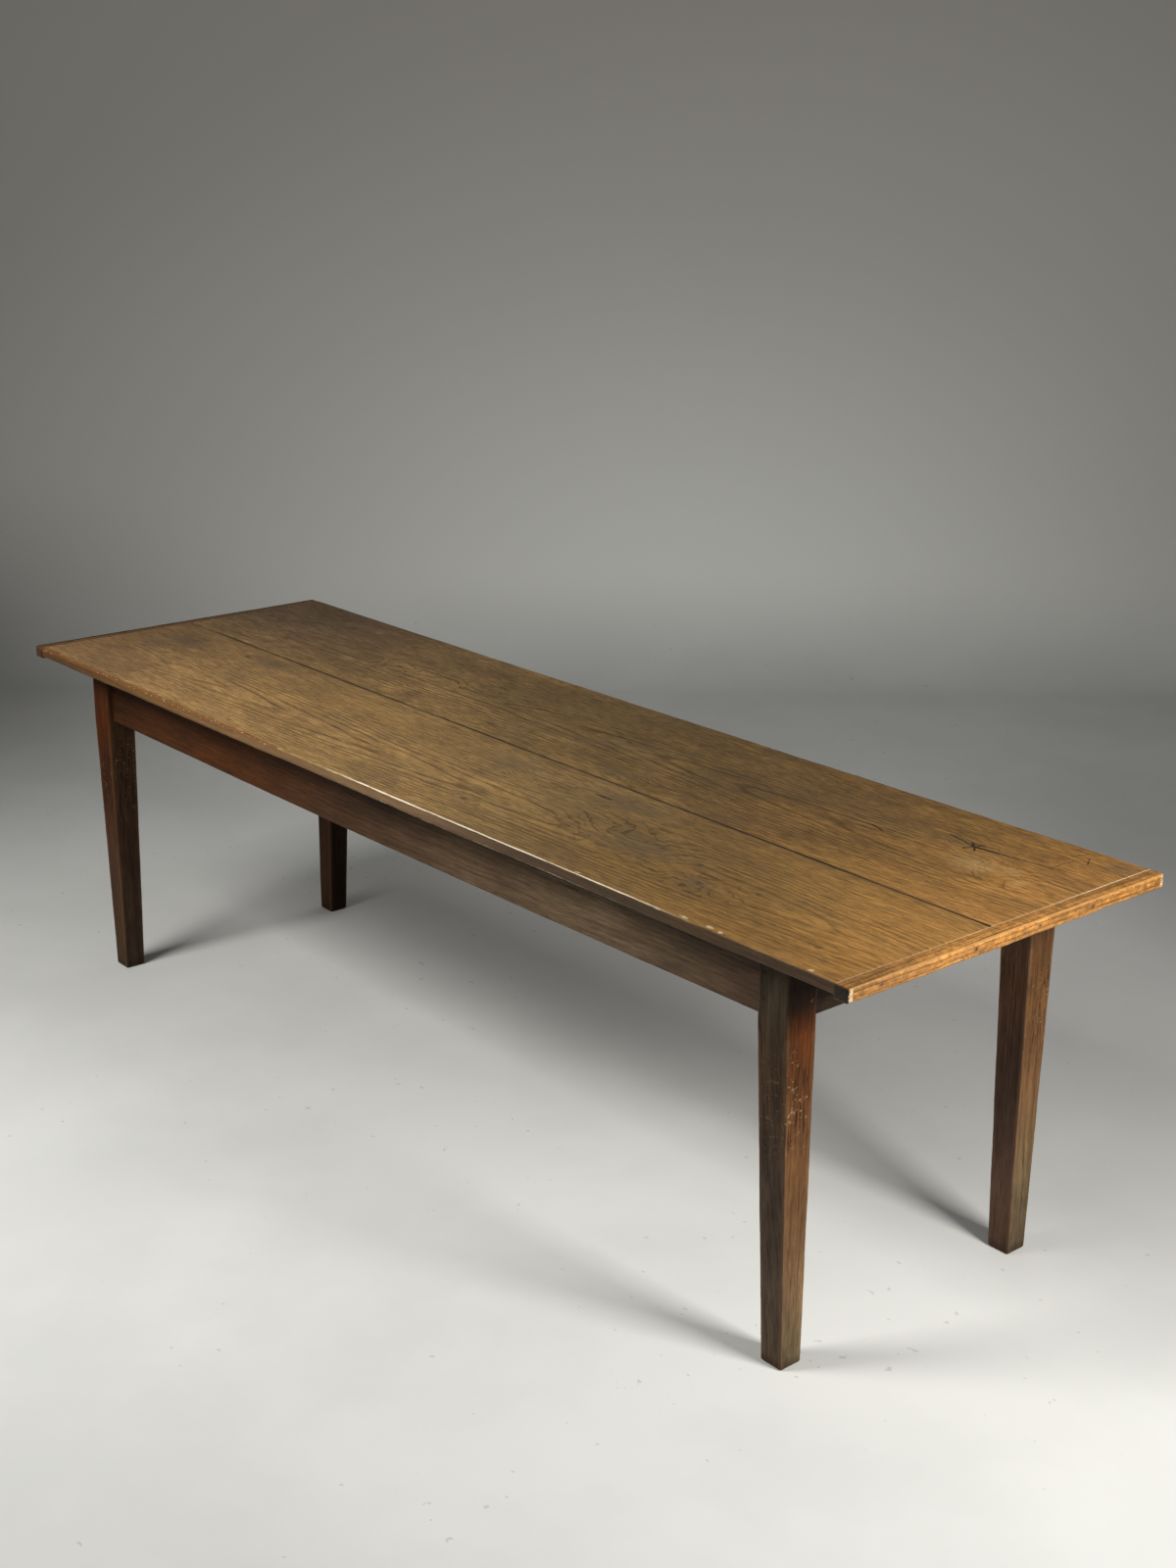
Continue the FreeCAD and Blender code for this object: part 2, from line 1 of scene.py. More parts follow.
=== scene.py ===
# %% [markdown]
# # An old oak farmhouse table
# In this lesson we dress a drawn table as the piece of furniture it is: two wide oak planks closed by narrow
# cleats, on four tapered legs that chairs and brooms have knocked for a hundred years. The drawing already
# fixes where every piece sits, so we only make each piece's true surface and its finish.

# %% Open the drawn table
import math

import bmesh
import bpy
import numpy as np
from mathutils import Matrix, Vector, noise


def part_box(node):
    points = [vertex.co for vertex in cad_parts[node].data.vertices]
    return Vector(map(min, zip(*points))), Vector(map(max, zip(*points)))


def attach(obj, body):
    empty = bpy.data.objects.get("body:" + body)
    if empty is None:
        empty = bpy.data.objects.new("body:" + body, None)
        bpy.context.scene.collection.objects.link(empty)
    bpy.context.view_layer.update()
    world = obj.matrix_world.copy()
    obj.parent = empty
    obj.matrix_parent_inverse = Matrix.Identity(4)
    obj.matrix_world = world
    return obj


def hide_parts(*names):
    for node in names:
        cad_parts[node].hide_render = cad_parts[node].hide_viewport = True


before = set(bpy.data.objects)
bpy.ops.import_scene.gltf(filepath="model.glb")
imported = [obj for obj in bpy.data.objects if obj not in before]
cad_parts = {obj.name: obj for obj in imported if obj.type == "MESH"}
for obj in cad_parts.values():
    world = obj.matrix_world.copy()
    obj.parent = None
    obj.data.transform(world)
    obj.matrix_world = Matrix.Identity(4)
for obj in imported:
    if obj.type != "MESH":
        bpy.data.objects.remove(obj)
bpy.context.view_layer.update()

# %% [markdown]
# ## Sizes
# A maker reads the sizes off the drawing. They could be typed in again, but then a change to the drawing
# would leave the dressed pieces behind, so the boxes around the drawn planks, cleats and legs give them.

# %% Read the sizes off the drawing
half_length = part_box("end_cleat_right")[1].x
half_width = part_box("top_plank_back")[1].y
top_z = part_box("top_plank_front")[1].z
plank_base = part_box("top_plank_front")[0].z
joint_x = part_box("end_cleat_right")[0].x
cleat_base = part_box("end_cleat_right")[0].z
half_gap = 0.00075
seam_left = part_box("top_plank_front")[1].y + half_gap
seam_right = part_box("top_plank_back")[0].y - half_gap
leg_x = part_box("leg_front_right")[1].x
leg_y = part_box("leg_back_right")[1].y
leg_size = leg_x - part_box("leg_front_right")[0].x
print("top", half_length * 2, "by", half_width * 2, "leg", round(leg_size, 4))

# %% [markdown]
# ## Finishes as node groups
# An old finish is a recipe of growth rings, pores, rubbed arrises and dirt. It could be a painted picture,
# but that blurs up close and stretches at corners, so nodes work ours out at every point. Each part of the
# recipe is a node group that any material can call. The groups give only values and masks; the shader itself
# stays in the material. First come two helpers that place and wire a node in one line.

# %% Wiring: sockets and nodes


def feed(tree, socket, item):
    """Wire a socket to another one, or set its value. A colour needs no alpha."""
    if isinstance(item, bpy.types.NodeSocket):
        tree.links.new(item, socket)
    elif item is not None:
        socket.default_value = (*item, 1.0) if socket.type == "RGBA" else item


def place(tree, kind, *items, **settings):
    """A new node with its settings made and its first inputs fed."""
    made = tree.nodes.new(kind)
    for key, value in settings.items():
        setattr(made, key, value)
    for index, item in enumerate(items):
        feed(tree, made.inputs[index], item)
    return made


print("nodes can be placed")

# %% [markdown]
# Values are added and multiplied by maths nodes, and arrows by vector nodes. A colour is three numbers too,
# so a vector node can darken it.

# %% Wiring: sums and arrows


def maths(tree, operation, *items):
    return place(tree, "ShaderNodeMath", *items, operation=operation).outputs[0]


def times(tree, *factors):
    """The product of two or more values."""
    total = factors[0]
    for factor in factors[1:]:
        total = maths(tree, "MULTIPLY", total, factor)
    return total


def weighted(tree, parts):
    """A sum of values, each times its weight, given as (value, weight)."""
    total = 0.0
    for value, weight in parts:
        total = maths(tree, "MULTIPLY_ADD", value, weight, total)
    return total


def either(tree, mask, first, second):
    """One number where the mask is 0 and another where it is 1."""
    return maths(tree, "MULTIPLY_ADD", mask, second - first, first)


def vectors(tree, operation, *items):
    """An arrow worked out from others. A length or a dot product is one value."""
    made = place(tree, "ShaderNodeVectorMath", *items, operation=operation)
    return made.outputs["Value" if operation in ("LENGTH", "DOT_PRODUCT") else "Vector"]


def scaled(tree, arrow, factor):
    """An arrow or a colour times one value."""
    made = place(tree, "ShaderNodeVectorMath", arrow, operation="SCALE")
    feed(tree, made.inputs["Scale"], factor)
    return made.outputs[0]


print("sums and arrows ready")

# %% [markdown]
# Most masks are soft ramps, since little on old wood starts at a sharp line. Colours are mixed, multiplied
# or laid over each other like a wash, and `tones` gives a run of colours along a value.

# %% Wiring: ramps and colours


def ease(tree, value, start, stop, low=0.0, high=1.0):
    """A soft ramp from low to high as the value goes from start to stop."""
    soft = {"interpolation_type": "SMOOTHSTEP"}
    return place(tree, "ShaderNodeMapRange", value, start, stop, low, high, **soft).outputs[0]


def share_of(tree, value, start, stop):
    """How far a value has gone from start to stop, between 0 and 1."""
    return place(tree, "ShaderNodeMapRange", value, start, stop, 0.0, 1.0).outputs[0]


def blend(tree, factor, first, second, how="MIX"):
    made = place(tree, "ShaderNodeMix", data_type="RGBA", blend_type=how)
    for index, item in ((0, factor), (6, first), (7, second)):
        feed(tree, made.inputs[index], item)
    return made.outputs[2]


def tint(tree, colour, other):
    """One colour times another."""
    return blend(tree, 1.0, colour, other, "MULTIPLY")


def wash(tree, base, mask, amount, colour):
    """Lay a colour over the base where the mask is, no stronger than the amount."""
    return blend(tree, times(tree, mask, amount), base, colour)


def tones(tree, value, stops):
    """A run of colours along a value, given as (value from 0 to 1, colour)."""
    made = tree.nodes.new("ShaderNodeValToRGB")
    feed(tree, made.inputs[0], value)
    steps = made.color_ramp.elements
    steps[0].position, steps[1].position = stops[0][0], stops[-1][0]
    for at, _ in stops[1:-1]:
        steps.new(at)
    for step, (_, colour) in zip(steps, stops):
        step.color = (*colour, 1.0)
    return made.outputs[0]


print("ramps and colours ready")

# %% [markdown]
# Noise in wood is drawn out along the grain, so its scale may be three numbers, one for each direction.
# `push` turns noise into a small arrow, which bends what would look ruled.

# %% Wiring: noise


def noise_node(tree, spot, scale, detail, harsh, twist=0.0):
    """A noise texture, drawn out first where its scale is three numbers."""
    if isinstance(scale, tuple):
        drawn_out = tree.nodes.new("ShaderNodeMapping")
        feed(tree, drawn_out.inputs["Vector"], spot)
        feed(tree, drawn_out.inputs["Scale"], scale)
        spot, scale = drawn_out.outputs[0], 1.0
    made = tree.nodes.new("ShaderNodeTexNoise")
    for label, item in (
        ("Vector", spot), ("Scale", scale), ("Detail", detail), ("Roughness", harsh), ("Distortion", twist),
    ):
        feed(tree, made.inputs[label], item)
    return made


def cloud(tree, spot, scale, detail=2.0, harsh=0.5, twist=0.0):
    """Soft patches between 0 and 1."""
    return noise_node(tree, spot, scale, detail, harsh, twist).outputs[0]


def push(tree, spot, scale, detail=2.0, harsh=0.5):
    """An arrow that wanders around zero, from the noise's three colours."""
    colour = noise_node(tree, spot, scale, detail, harsh).outputs["Color"]
    return vectors(tree, "SUBTRACT", colour, (0.5, 0.5, 0.5))


print("noise ready")

# %% [markdown]
# A recipe is a node group with named inputs and outputs, and `call` puts one to work in a material. The
# nodes could be laid anew in each material, but a group is mended once for all of them.

# %% Wiring: recipes
FLOAT, VECTOR = "NodeSocketFloat", "NodeSocketVector"


def recipe(name, wants, gives):
    """A new node group, with inputs given as (name, kind, default) and outputs as (name, kind)."""
    tree = bpy.data.node_groups.new(name, "ShaderNodeTree")
    for label, kind, value in wants:
        made = tree.interface.new_socket(label, in_out="INPUT", socket_type=kind)
        if value is not None:
            made.default_value = value
    for label, kind in gives:
        tree.interface.new_socket(label, in_out="OUTPUT", socket_type=kind)
    return tree, tree.nodes.new("NodeGroupInput").outputs, tree.nodes.new("NodeGroupOutput").inputs


def call(tree, group, **items):
    """Use a recipe. An underscore in an input's name stands for a space."""
    made = tree.nodes.new("ShaderNodeGroup")
    made.node_tree = group
    for label, item in items.items():
        feed(tree, made.inputs[label.replace("_", " ")], item)
    return made.outputs


print("recipes can be written")

# %% [markdown]
# Oak shows its growth rings as long pointed arches where the saw cut close to the heart, and as straight
# lines further out. The group below measures the distance from a heart line that wanders below the surface,
# and cuts that distance into rings. Where a branch grew, the swell input pushes the rings aside. Some years
# draw a stronger line than others. Streaks, fibres and pores are noise drawn out along the grain.

# %% Recipe: oak figure
tree, wants, gives = recipe(
    "oak figure",
    [
        ("Place", VECTOR, None),
        ("Heart", VECTOR, None),
        ("Ring Width", FLOAT, 0.006),
        ("Wander", FLOAT, 0.05),
        ("Swell", FLOAT, 0.0),
    ],
    [("Rings", FLOAT), ("Streaks", FLOAT), ("Fibres", FLOAT), ("Pores", FLOAT)],
)
oak_figure = tree
slow_push = push(tree, wants["Place"], (0.75, 3.0, 3.0), 1.0)
quick_push = push(tree, wants["Place"], (5.0, 22.0, 22.0))
both = vectors(tree, "MULTIPLY_ADD", quick_push, (0.10, 0.10, 0.10), slow_push)
pushed = vectors(tree, "ADD", wants["Place"], scaled(tree, both, wants["Wander"]))
from_heart = vectors(tree, "SUBTRACT", pushed, wants["Heart"])
across_grain = vectors(tree, "MULTIPLY", from_heart, (0.0, 1.0, 1.0))
radius = maths(tree, "ADD", vectors(tree, "LENGTH", across_grain), wants["Swell"])
count = maths(tree, "DIVIDE", radius, wants["Ring Width"])
within = maths(tree, "FRACT", count)
wood_between = times(tree, ease(tree, within, 0.05, 0.34), ease(tree, within, 0.90, 1.0, 1.0, 0.0))
dark_line = maths(tree, "SUBTRACT", 1.0, wood_between)
year = place(tree, "ShaderNodeTexWhiteNoise", noise_dimensions="1D")
feed(tree, year.inputs["W"], maths(tree, "FLOOR", count))
streaks = cloud(tree, pushed, (4.0, 95.0, 95.0), 6.0, 0.74)
strong_year = ease(tree, year.outputs[0], 0.0, 1.0, 0.55, 1.0)
strength = times(tree, strong_year, ease(tree, streaks, 0.68, 0.42, 0.55, 1.0))
feed(tree, gives["Rings"], maths(tree, "SUBTRACT", 1.0, times(tree, dark_line, strength)))
feed(tree, gives["Streaks"], streaks)
feed(tree, gives["Fibres"], cloud(tree, pushed, (26.0, 260.0, 260.0), 4.0, 0.75))
open_pores = ease(tree, cloud(tree, pushed, (20.0, 300.0, 300.0), 1.0), 0.57, 0.68)
feed(tree, gives["Pores"], times(tree, open_pores, ease(tree, within, 0.55, 0.1, 0.35, 1.0)))
print("oak figure group:", len(tree.nodes), "nodes")

# %% [markdown]
# Two small recipes place the marks of use: a line for cracks and scratches, and a round or long patch for
# knots, stains and pale rubbed places.

# %% Recipes: a line and a patch
tree, wants, gives = recipe(
    "line mark",
    [("Place", VECTOR, None), ("Start", VECTOR, None), ("Stop", VECTOR, None), ("Half Width", FLOAT, 0.001)],
    [("Mask", FLOAT)],
)
line_mark = tree
away = vectors(tree, "SUBTRACT", wants["Place"], wants["Start"])
span = vectors(tree, "SUBTRACT", wants["Stop"], wants["Start"])
whole = maths(tree, "MAXIMUM", vectors(tree, "DOT_PRODUCT", span, span), 1e-9)
gone = vectors(tree, "DOT_PRODUCT", away, span)
reached = place(tree, "ShaderNodeMath", gone, whole, operation="DIVIDE", use_clamp=True).outputs[0]
gap = vectors(tree, "SUBTRACT", away, scaled(tree, span, reached))
gap = vectors(tree, "LENGTH", vectors(tree, "MULTIPLY", gap, (1.0, 1.0, 0.0)))
feed(tree, gives["Mask"], ease(tree, gap, wants["Half Width"], times(tree, wants["Half Width"], 0.3)))

tree, wants, gives = recipe(
    "patch mark",
    [("Place", VECTOR, None), ("Centre", VECTOR, None), ("Reach", VECTOR, (0.05, 0.05, 1.0))],
    [("Mask", FLOAT)],
)
patch_mark = tree
away = vectors(tree, "SUBTRACT", wants["Place"], wants["Centre"])
away = vectors(tree, "LENGTH", vectors(tree, "DIVIDE", away, wants["Reach"]))
feed(tree, gives["Mask"], ease(tree, away, 1.0, 0.0))
print("mark groups ready")

# %% [markdown]
# Hands, knees and cloths rub the finish off the arrises first. Every piece of wood will carry a wear value at
# its points. This recipe breaks it up with noise, so that the bare wood shows in patches and not as a painted
# stripe. It also gives a slow mottling for dirt that has settled into the surface.

# %% Recipe: rubbed arrises and grime
tree, wants, gives = recipe(
    "rubbed and grimy", [("Place", VECTOR, None), ("Worn", FLOAT, 0.0)], [("Rubbed", FLOAT), ("Grime", FLOAT)]
)
rubbed = tree
patchy = cloud(tree, wants["Place"], (24.0, 60.0, 60.0), 4.0, 0.65)
nearly = maths(tree, "ADD", wants["Worn"], maths(tree, "MULTIPLY_ADD", patchy, 0.9, -0.45))
on_arris = ease(tree, wants["Worn"], 0.0, 0.25)
feed(tree, gives["Rubbed"], times(tree, ease(tree, nearly, 0.3, 0.8), on_arris))
settled = cloud(tree, wants["Place"], (5.0, 11.0, 11.0), 5.0, 0.62, 0.4)
feed(tree, gives["Grime"], ease(tree, settled, 0.35, 0.72))
print("wear group ready")

# %% [markdown]
# The finishes below share a few steps. First they ask where we are on the table, which way the surface looks
# and how worn it is there.

# %% Where we are and how worn


def finish(name):
    """A new material, with its node tree and its shader."""
    made = bpy.data.materials.new(name)
    made.use_nodes = True
    return made, made.node_tree, made.node_tree.nodes["Principled BSDF"]


def where_on(tree):
    """The place on the table in metres, whole and split into x, y and z."""
    spot = tree.nodes.new("ShaderNodeTexCoord").outputs["Object"]
    return spot, place(tree, "ShaderNodeSeparateXYZ", spot).outputs


def looking(tree):
    """Which way the surface looks, split into x, y and z."""
    normal = tree.nodes.new("ShaderNodeNewGeometry").outputs["Normal"]
    return place(tree, "ShaderNodeSeparateXYZ", normal).outputs


def worn_value(tree):
    return place(tree, "ShaderNodeAttribute", attribute_name="worn").outputs["Fac"]


print("place and wear ready")

# %% [markdown]
# The grain makes wood lighter and darker, and its pores and rings can be felt. That relief is a bump in the
# shader, because real dents so fine would need millions of faces.

# %% Light, shine and relief


def grain_light(tree, figure, ring, streak, fibre, fibre_soft=0.18):
    """How bright the grain is, from the lows and highs of its rings, streaks and fibres."""
    return times(
        tree,
        ease(tree, figure["Rings"], 0.0, 1.0, *ring),
        ease(tree, figure["Streaks"], 0.32, 0.68, *streak),
        ease(tree, figure["Fibres"], 0.5 - fibre_soft, 0.5 + fibre_soft, *fibre),
    )


def lay(tree, shader, colour, roughness, shine):
    """Give the shader its colour, its roughness and how much of the light it mirrors."""
    feed(tree, shader.inputs["Base Color"], colour)
    feed(tree, shader.inputs["Roughness"], roughness)
    feed(tree, shader.inputs["Specular IOR Level"], shine)


def relief(tree, shader, depth, parts):
    """Raise and sink the surface by weighted values, given as (value, weight)."""
    made = tree.nodes.new("ShaderNodeBump")
    made.inputs["Strength"].default_value = 1.0
    made.inputs["Distance"].default_value = depth
    feed(tree, made.inputs["Height"], weighted(tree, parts))
    feed(tree, shader.inputs["Normal"], made.outputs[0])


print("light, shine and relief ready")

# %% [markdown]
# Marks come in handfuls. These helpers turn a list of places on the top into one mask.

# %% Marks in handfuls


def strongest(tree, masks):
    """One mask that is as strong as the strongest of many."""
    total = masks[0]
    for mask in masks[1:]:
        total = maths(tree, "MAXIMUM", total, mask)
    return total


def patch(tree, spot, centre, reach):
    return call(tree, patch_mark, Place=spot, Centre=centre, Reach=reach)["Mask"]


def patches_on_top(tree, spot, marks, depth=1.0):
    """Patches given as (x, y, reach along, reach across)."""
    return strongest(tree, [
        patch(tree, spot, (x, y, top_z), (along, across, depth)) for x, y, along, across in marks
    ])


def lines_on_top(tree, spot, marks):
    """Lines given as (start x, start y, stop x, stop y, half width)."""
    return strongest(tree, [
        call(tree, line_mark, Place=spot, Start=(a, b, 0.0), Stop=(c, d, 0.0), Half_Width=half)["Mask"]
        for a, b, c, d, half in marks
    ])


print("mark helpers ready")

# %% [markdown]
# ## The tabletop's finish
# The two planks came from different boards, so each has its own heart line, which leans a little against the
# plank. The material finds its plank by the seam and lays the rings. Where branches grew, knots lift the
# rings into curls. Each knot is a place, its reach along and across, and how far it lifts the rings.

# %% Top finish: two boards and their rings
top_finish, tree, shader = finish("waxed oak top")
spot, axes = where_on(tree)
seam_line = place(
    tree, "ShaderNodeMapRange", axes[0], -joint_x, joint_x, seam_left, seam_right, clamp=False
).outputs[0]
from_seam = maths(tree, "SUBTRACT", axes[1], seam_line)
is_back = maths(tree, "GREATER_THAN", from_seam, 0.0)
heart_depth = 0.070
heart_y = either(tree, is_back, -0.235, 0.160)
heart = place(tree, "ShaderNodeCombineXYZ", 0.0, heart_y, top_z - heart_depth).outputs[0]
other_board = place(tree, "ShaderNodeCombineXYZ", either(tree, is_back, 0.0, 7.3), 0.0, 0.0).outputs[0]
plank_spot = vectors(tree, "ADD", spot, other_board)
knots = [
    (0.60, -0.20, 0.20, 0.095, 0.036),
    (0.826, -0.256, 0.11, 0.050, 0.026),
    (0.30, -0.10, 0.20, 0.085, 0.034),
    (0.294, 0.034, 0.10, 0.050, 0.024),
    (1.00, 0.238, 0.10, 0.050, 0.022),
    (1.12, 0.165, 0.09, 0.055, 0.026),
    (0.234, -0.288, 0.07, 0.030, 0.016),
    (-0.61, 0.169, 0.10, 0.045, 0.018),
    (-0.30, 0.20, 0.16, 0.060, 0.020),
]
curled = vectors(tree, "MULTIPLY_ADD", push(tree, spot, 11.0, 3.0, 0.6), (0.16, 0.09, 0.0), spot)
lifts = [
    (patch(tree, curled, (x, y, top_z), (along, across, 1.0)), lift) for x, y, along, across, lift in knots
]
lean = either(tree, is_back, 0.026, -0.026)
swell = weighted(tree, [*lifts, (axes[0], lean)])
figure = call(tree, oak_figure, Place=plank_spot, Heart=heart, Ring_Width=0.0088, Wander=0.056, Swell=swell)
use = call(tree, rubbed, Place=plank_spot, Worn=worn_value(tree))
print(len(knots), "knots in the top")

# %% [markdown]
# Then come the marks that a hundred years left. The open check with a star-shaped knot near the right end
# and the faint arc of a wet pot are chains of short lines. Every mark is placed on shaken ground, so that no
# edge is smooth.

# %% Top finish: cracks and the pot's arc
shaky = vectors(tree, "MULTIPLY_ADD", push(tree, spot, 60.0, 3.0, 0.6), (0.010, 0.010, 0.010), spot)
crack = lines_on_top(tree, shaky, [
    (0.930, 0.259, 1.000, 0.238, 0.0022),
    (0.996, 0.238, 1.050, 0.244, 0.0052),
    (1.040, 0.243, 1.090, 0.249, 0.0034),
    (1.090, 0.249, 1.180, 0.261, 0.0017),
    (0.985, 0.253, 1.014, 0.224, 0.0036),
    (1.008, 0.256, 0.992, 0.220, 0.0032),
    (0.806, 0.189, 0.846, 0.177, 0.0024),
    (0.371, -0.083, 0.412, -0.083, 0.0036),
    (1.165, 0.345, 1.180, 0.318, 0.0014),
    (1.150, 0.362, 1.138, 0.330, 0.0016),
    (1.168, 0.372, 1.150, 0.362, 0.0014),
    (1.156, 0.315, 1.150, 0.250, 0.0012),
])
arc_half_width = 0.0055
arc_points = [
    (0.10, -0.172), (0.20, -0.176), (0.29, -0.163), (0.36, -0.135), (0.42, -0.099), (0.452, -0.050),
]
faint_arc = lines_on_top(tree, shaky, [
    (*start, *stop, arc_half_width) for start, stop in zip(arc_points, arc_points[1:])
])
print("cracks and arc placed")

# %% [markdown]
# Dark specks, old spills and pale rubbed places are patches. The chips belong to the front arris alone, so
# they reach only a few millimetres down.

# %% Top finish: specks, stains and chips
specks = [
    (0.668, -0.186, 0.008), (0.768, -0.193, 0.007), (0.929, -0.216, 0.006), (1.150, -0.303, 0.006),
    (0.234, -0.288, 0.008), (0.159, 0.185, 0.008), (-0.896, -0.052, 0.010), (-0.61, 0.169, 0.010),
    (0.83, -0.255, 0.009), (0.47, -0.215, 0.008), (0.60, -0.150, 0.008), (0.545, -0.190, 0.007),
]
speck = patches_on_top(tree, shaky, [(x, y, 1.6 * size, 1.2 * size) for x, y, size in specks])
smudge = patches_on_top(tree, shaky, [
    (-1.109, -0.084, 0.11, 0.07), (-1.146, -0.150, 0.08, 0.05), (-0.80, -0.05, 0.13, 0.05),
    (0.64, -0.21, 0.16, 0.08), (0.13, -0.086, 0.14, 0.06), (0.294, 0.032, 0.09, 0.04),
    (0.826, -0.256, 0.07, 0.035), (1.232, 0.344, 0.05, 0.05), (0.45, -0.07, 0.22, 0.05),
])
pale = patches_on_top(tree, shaky, [
    (-1.024, -0.118, 0.030, 0.020), (-0.912, -0.031, 0.030, 0.014), (-0.745, 0.118, 0.045, 0.020),
    (-1.015, 0.079, 0.035, 0.014), (-0.892, 0.310, 0.025, 0.020), (-0.931, -0.296, 0.025, 0.012),
    (0.569, 0.313, 0.010, 0.007), (1.06, 0.168, 0.085, 0.050), (1.166, 0.155, 0.020, 0.022),
    (1.12, 0.190, 0.040, 0.020),
])
chip = patches_on_top(tree, shaky, [
    (0.925, -0.377, 0.020, 0.006), (0.985, -0.375, 0.016, 0.007), (1.012, -0.378, 0.010, 0.005),
    (0.665, -0.378, 0.013, 0.005), (1.205, -0.377, 0.010, 0.006),
], 0.005)
print(len(specks), "specks and the other patches placed")

# %% [markdown]
# Wax, smoke and sun have coloured the oak: grey at the left end, golden at the right, with a patina that
# differs from plank to plank. We write it as a run of colours along the table and multiply the wood by it.

# %% Top finish: the patina
broad = cloud(tree, plank_spot, (1.6, 5.0, 5.0), 3.0, 0.55, 0.3)
tone = blend(tree, broad, (0.275, 0.166, 0.060), (0.390, 0.236, 0.088))
golden = ease(tree, maths(tree, "MULTIPLY_ADD", broad, 0.5, axes[0]), 0.85, 1.50)
tone = blend(tree, golden, tone, (0.335, 0.186, 0.058))
greyed = patch(tree, spot, (-1.15, 0.28, top_z), (0.85, 0.34, 5.0))
tone = wash(tree, tone, greyed, 0.7, (0.170, 0.112, 0.062))
along = share_of(tree, axes[0], -joint_x, joint_x)
front_patina = tones(tree, along, [
    (0.056, (0.67, 0.63, 0.69)), (0.153, (0.86, 0.83, 0.85)), (0.30, (0.96, 0.93, 0.90)),
    (0.50, (0.84, 0.83, 0.81)), (0.65, (0.79, 0.80, 0.78)), (0.76, (0.81, 0.76, 0.63)),
    (0.857, (0.76, 0.71, 0.57)), (0.976, (0.82, 0.74, 0.60)),
])
back_patina = tones(tree, along, [
    (0.056, (0.59, 0.57, 0.62)), (0.153, (0.74, 0.71, 0.73)), (0.30, (0.74, 0.73, 0.73)),
    (0.50, (0.76, 0.75, 0.71)), (0.65, (0.70, 0.67, 0.60)), (0.76, (0.85, 0.76, 0.64)),
    (0.857, (0.88, 0.80, 0.64)), (0.976, (0.87, 0.76, 0.60)),
])
tone = tint(tree, tone, blend(tree, is_back, front_patina, back_patina))
print("patina laid")

# %% [markdown]
# The ring lines are strong over the heart and fade outward and toward both ends. Fibres and a slow mottle
# play on top of them, more on the back plank. A few broad painted shadows finish the wood: a stretch in
# front, the middle of the back plank, and strips by the seam and by the front edge. The back plank also grows
# darker toward its far edge.

# %% Top finish: light and dark in the grain
off_heart = maths(tree, "ABSOLUTE", maths(tree, "SUBTRACT", axes[1], heart_y))
banded = times(
    tree,
    ease(tree, off_heart, 0.165, 0.070, 0.35, 1.0),
    ease(tree, off_heart, 0.0, 0.030, 0.60, 1.0),
    ease(tree, axes[0], -1.05, -0.45, 0.35, 1.0),
    ease(tree, axes[0], 1.20, 0.80, 0.60, 1.0),
)
ring_low = maths(tree, "MULTIPLY_ADD", banded, -0.66, 1.04)
fibre_low = either(tree, is_back, 0.62, 0.50)
grain = grain_light(tree, figure, (ring_low, 1.07), (0.87, 1.11), (fibre_low, 1.36))
mottle = cloud(tree, plank_spot, (5.0, 15.0, 15.0), 4.0, 0.62, 0.5)
mottled = ease(tree, mottle, 0.34, 0.66, 0.88, either(tree, is_back, 1.07, 1.20))
# Painted shade: a broad darker stretch on the front plank, the middle of the back plank, and strips by the
# seam and the front edge.
shaded_stretch = patch(tree, spot, (0.66, -0.12, top_z), (0.60, 0.48, 5.0))
in_back = times(
    tree,
    ease(tree, axes[0], -0.6, -0.1),
    ease(tree, axes[0], 1.2, 0.8),
    ease(tree, from_seam, -0.03, 0.09, 0.0, 0.26),
)
by_seam = times(
    tree,
    ease(tree, axes[1], -0.24, -0.06, 0.0, 0.16),
    ease(tree, axes[0], 0.5, 0.2),
    either(tree, is_back, 1.0, 0.0),
)
by_edge = times(tree, ease(tree, axes[1], -0.18, -0.34, 0.0, 0.17), ease(tree, axes[0], 0.2, 0.6))
light = times(
    tree,
    grain,
    mottled,
    maths(tree, "SUBTRACT", 1.0, maths(tree, "MULTIPLY_ADD", shaded_stretch, 0.34, in_back)),
    maths(tree, "SUBTRACT", 1.0, maths(tree, "ADD", by_seam, by_edge)),
    ease(tree, axes[1], 0.08, 0.34, 1.06, 0.85),
)
oak = scaled(tree, tone, light)
print("grain lit")

# %% [markdown]
# Now the dirt goes in, from the widest to the sharpest: pores and grime, spills, the dusty strip beside the
# seam, the ragged black line in it, and last the specks and cracks.

# %% Top finish: dirt and marks
off_seam = maths(tree, "ABSOLUTE", from_seam)
ragged = maths(tree, "MULTIPLY_ADD", cloud(tree, spot, (9.0, 60.0, 1.0), 3.0, 0.6), 0.0034, off_seam)
in_seam = times(tree, ease(tree, ragged, 0.0048, 0.0036), ease(tree, axes[0], -1.16, -1.09, 0.25, 1.0))
dirty = times(tree, ease(tree, axes[0], 1.15, 0.70, 0.20, 0.36), either(tree, is_back, 1.0, 1.2))
for mask, amount, colour in (
    (figure["Pores"], 0.60, (0.060, 0.036, 0.017)),
    (use["Grime"], dirty, (0.075, 0.052, 0.030)),
    (smudge, 0.50, (0.090, 0.068, 0.042)),
    (faint_arc, 0.28, (0.080, 0.058, 0.034)),
    (pale, 0.32, (0.380, 0.270, 0.130)),
    (ease(tree, off_seam, 0.010, 0.002), 0.30, (0.060, 0.040, 0.022)),
    (in_seam, 0.9, (0.012, 0.008, 0.005)),
    (speck, 0.75, (0.045, 0.030, 0.018)),
    (crack, 0.92, (0.018, 0.012, 0.008)),
):
    oak = wash(tree, oak, mask, amount, colour)
print("dirt laid")
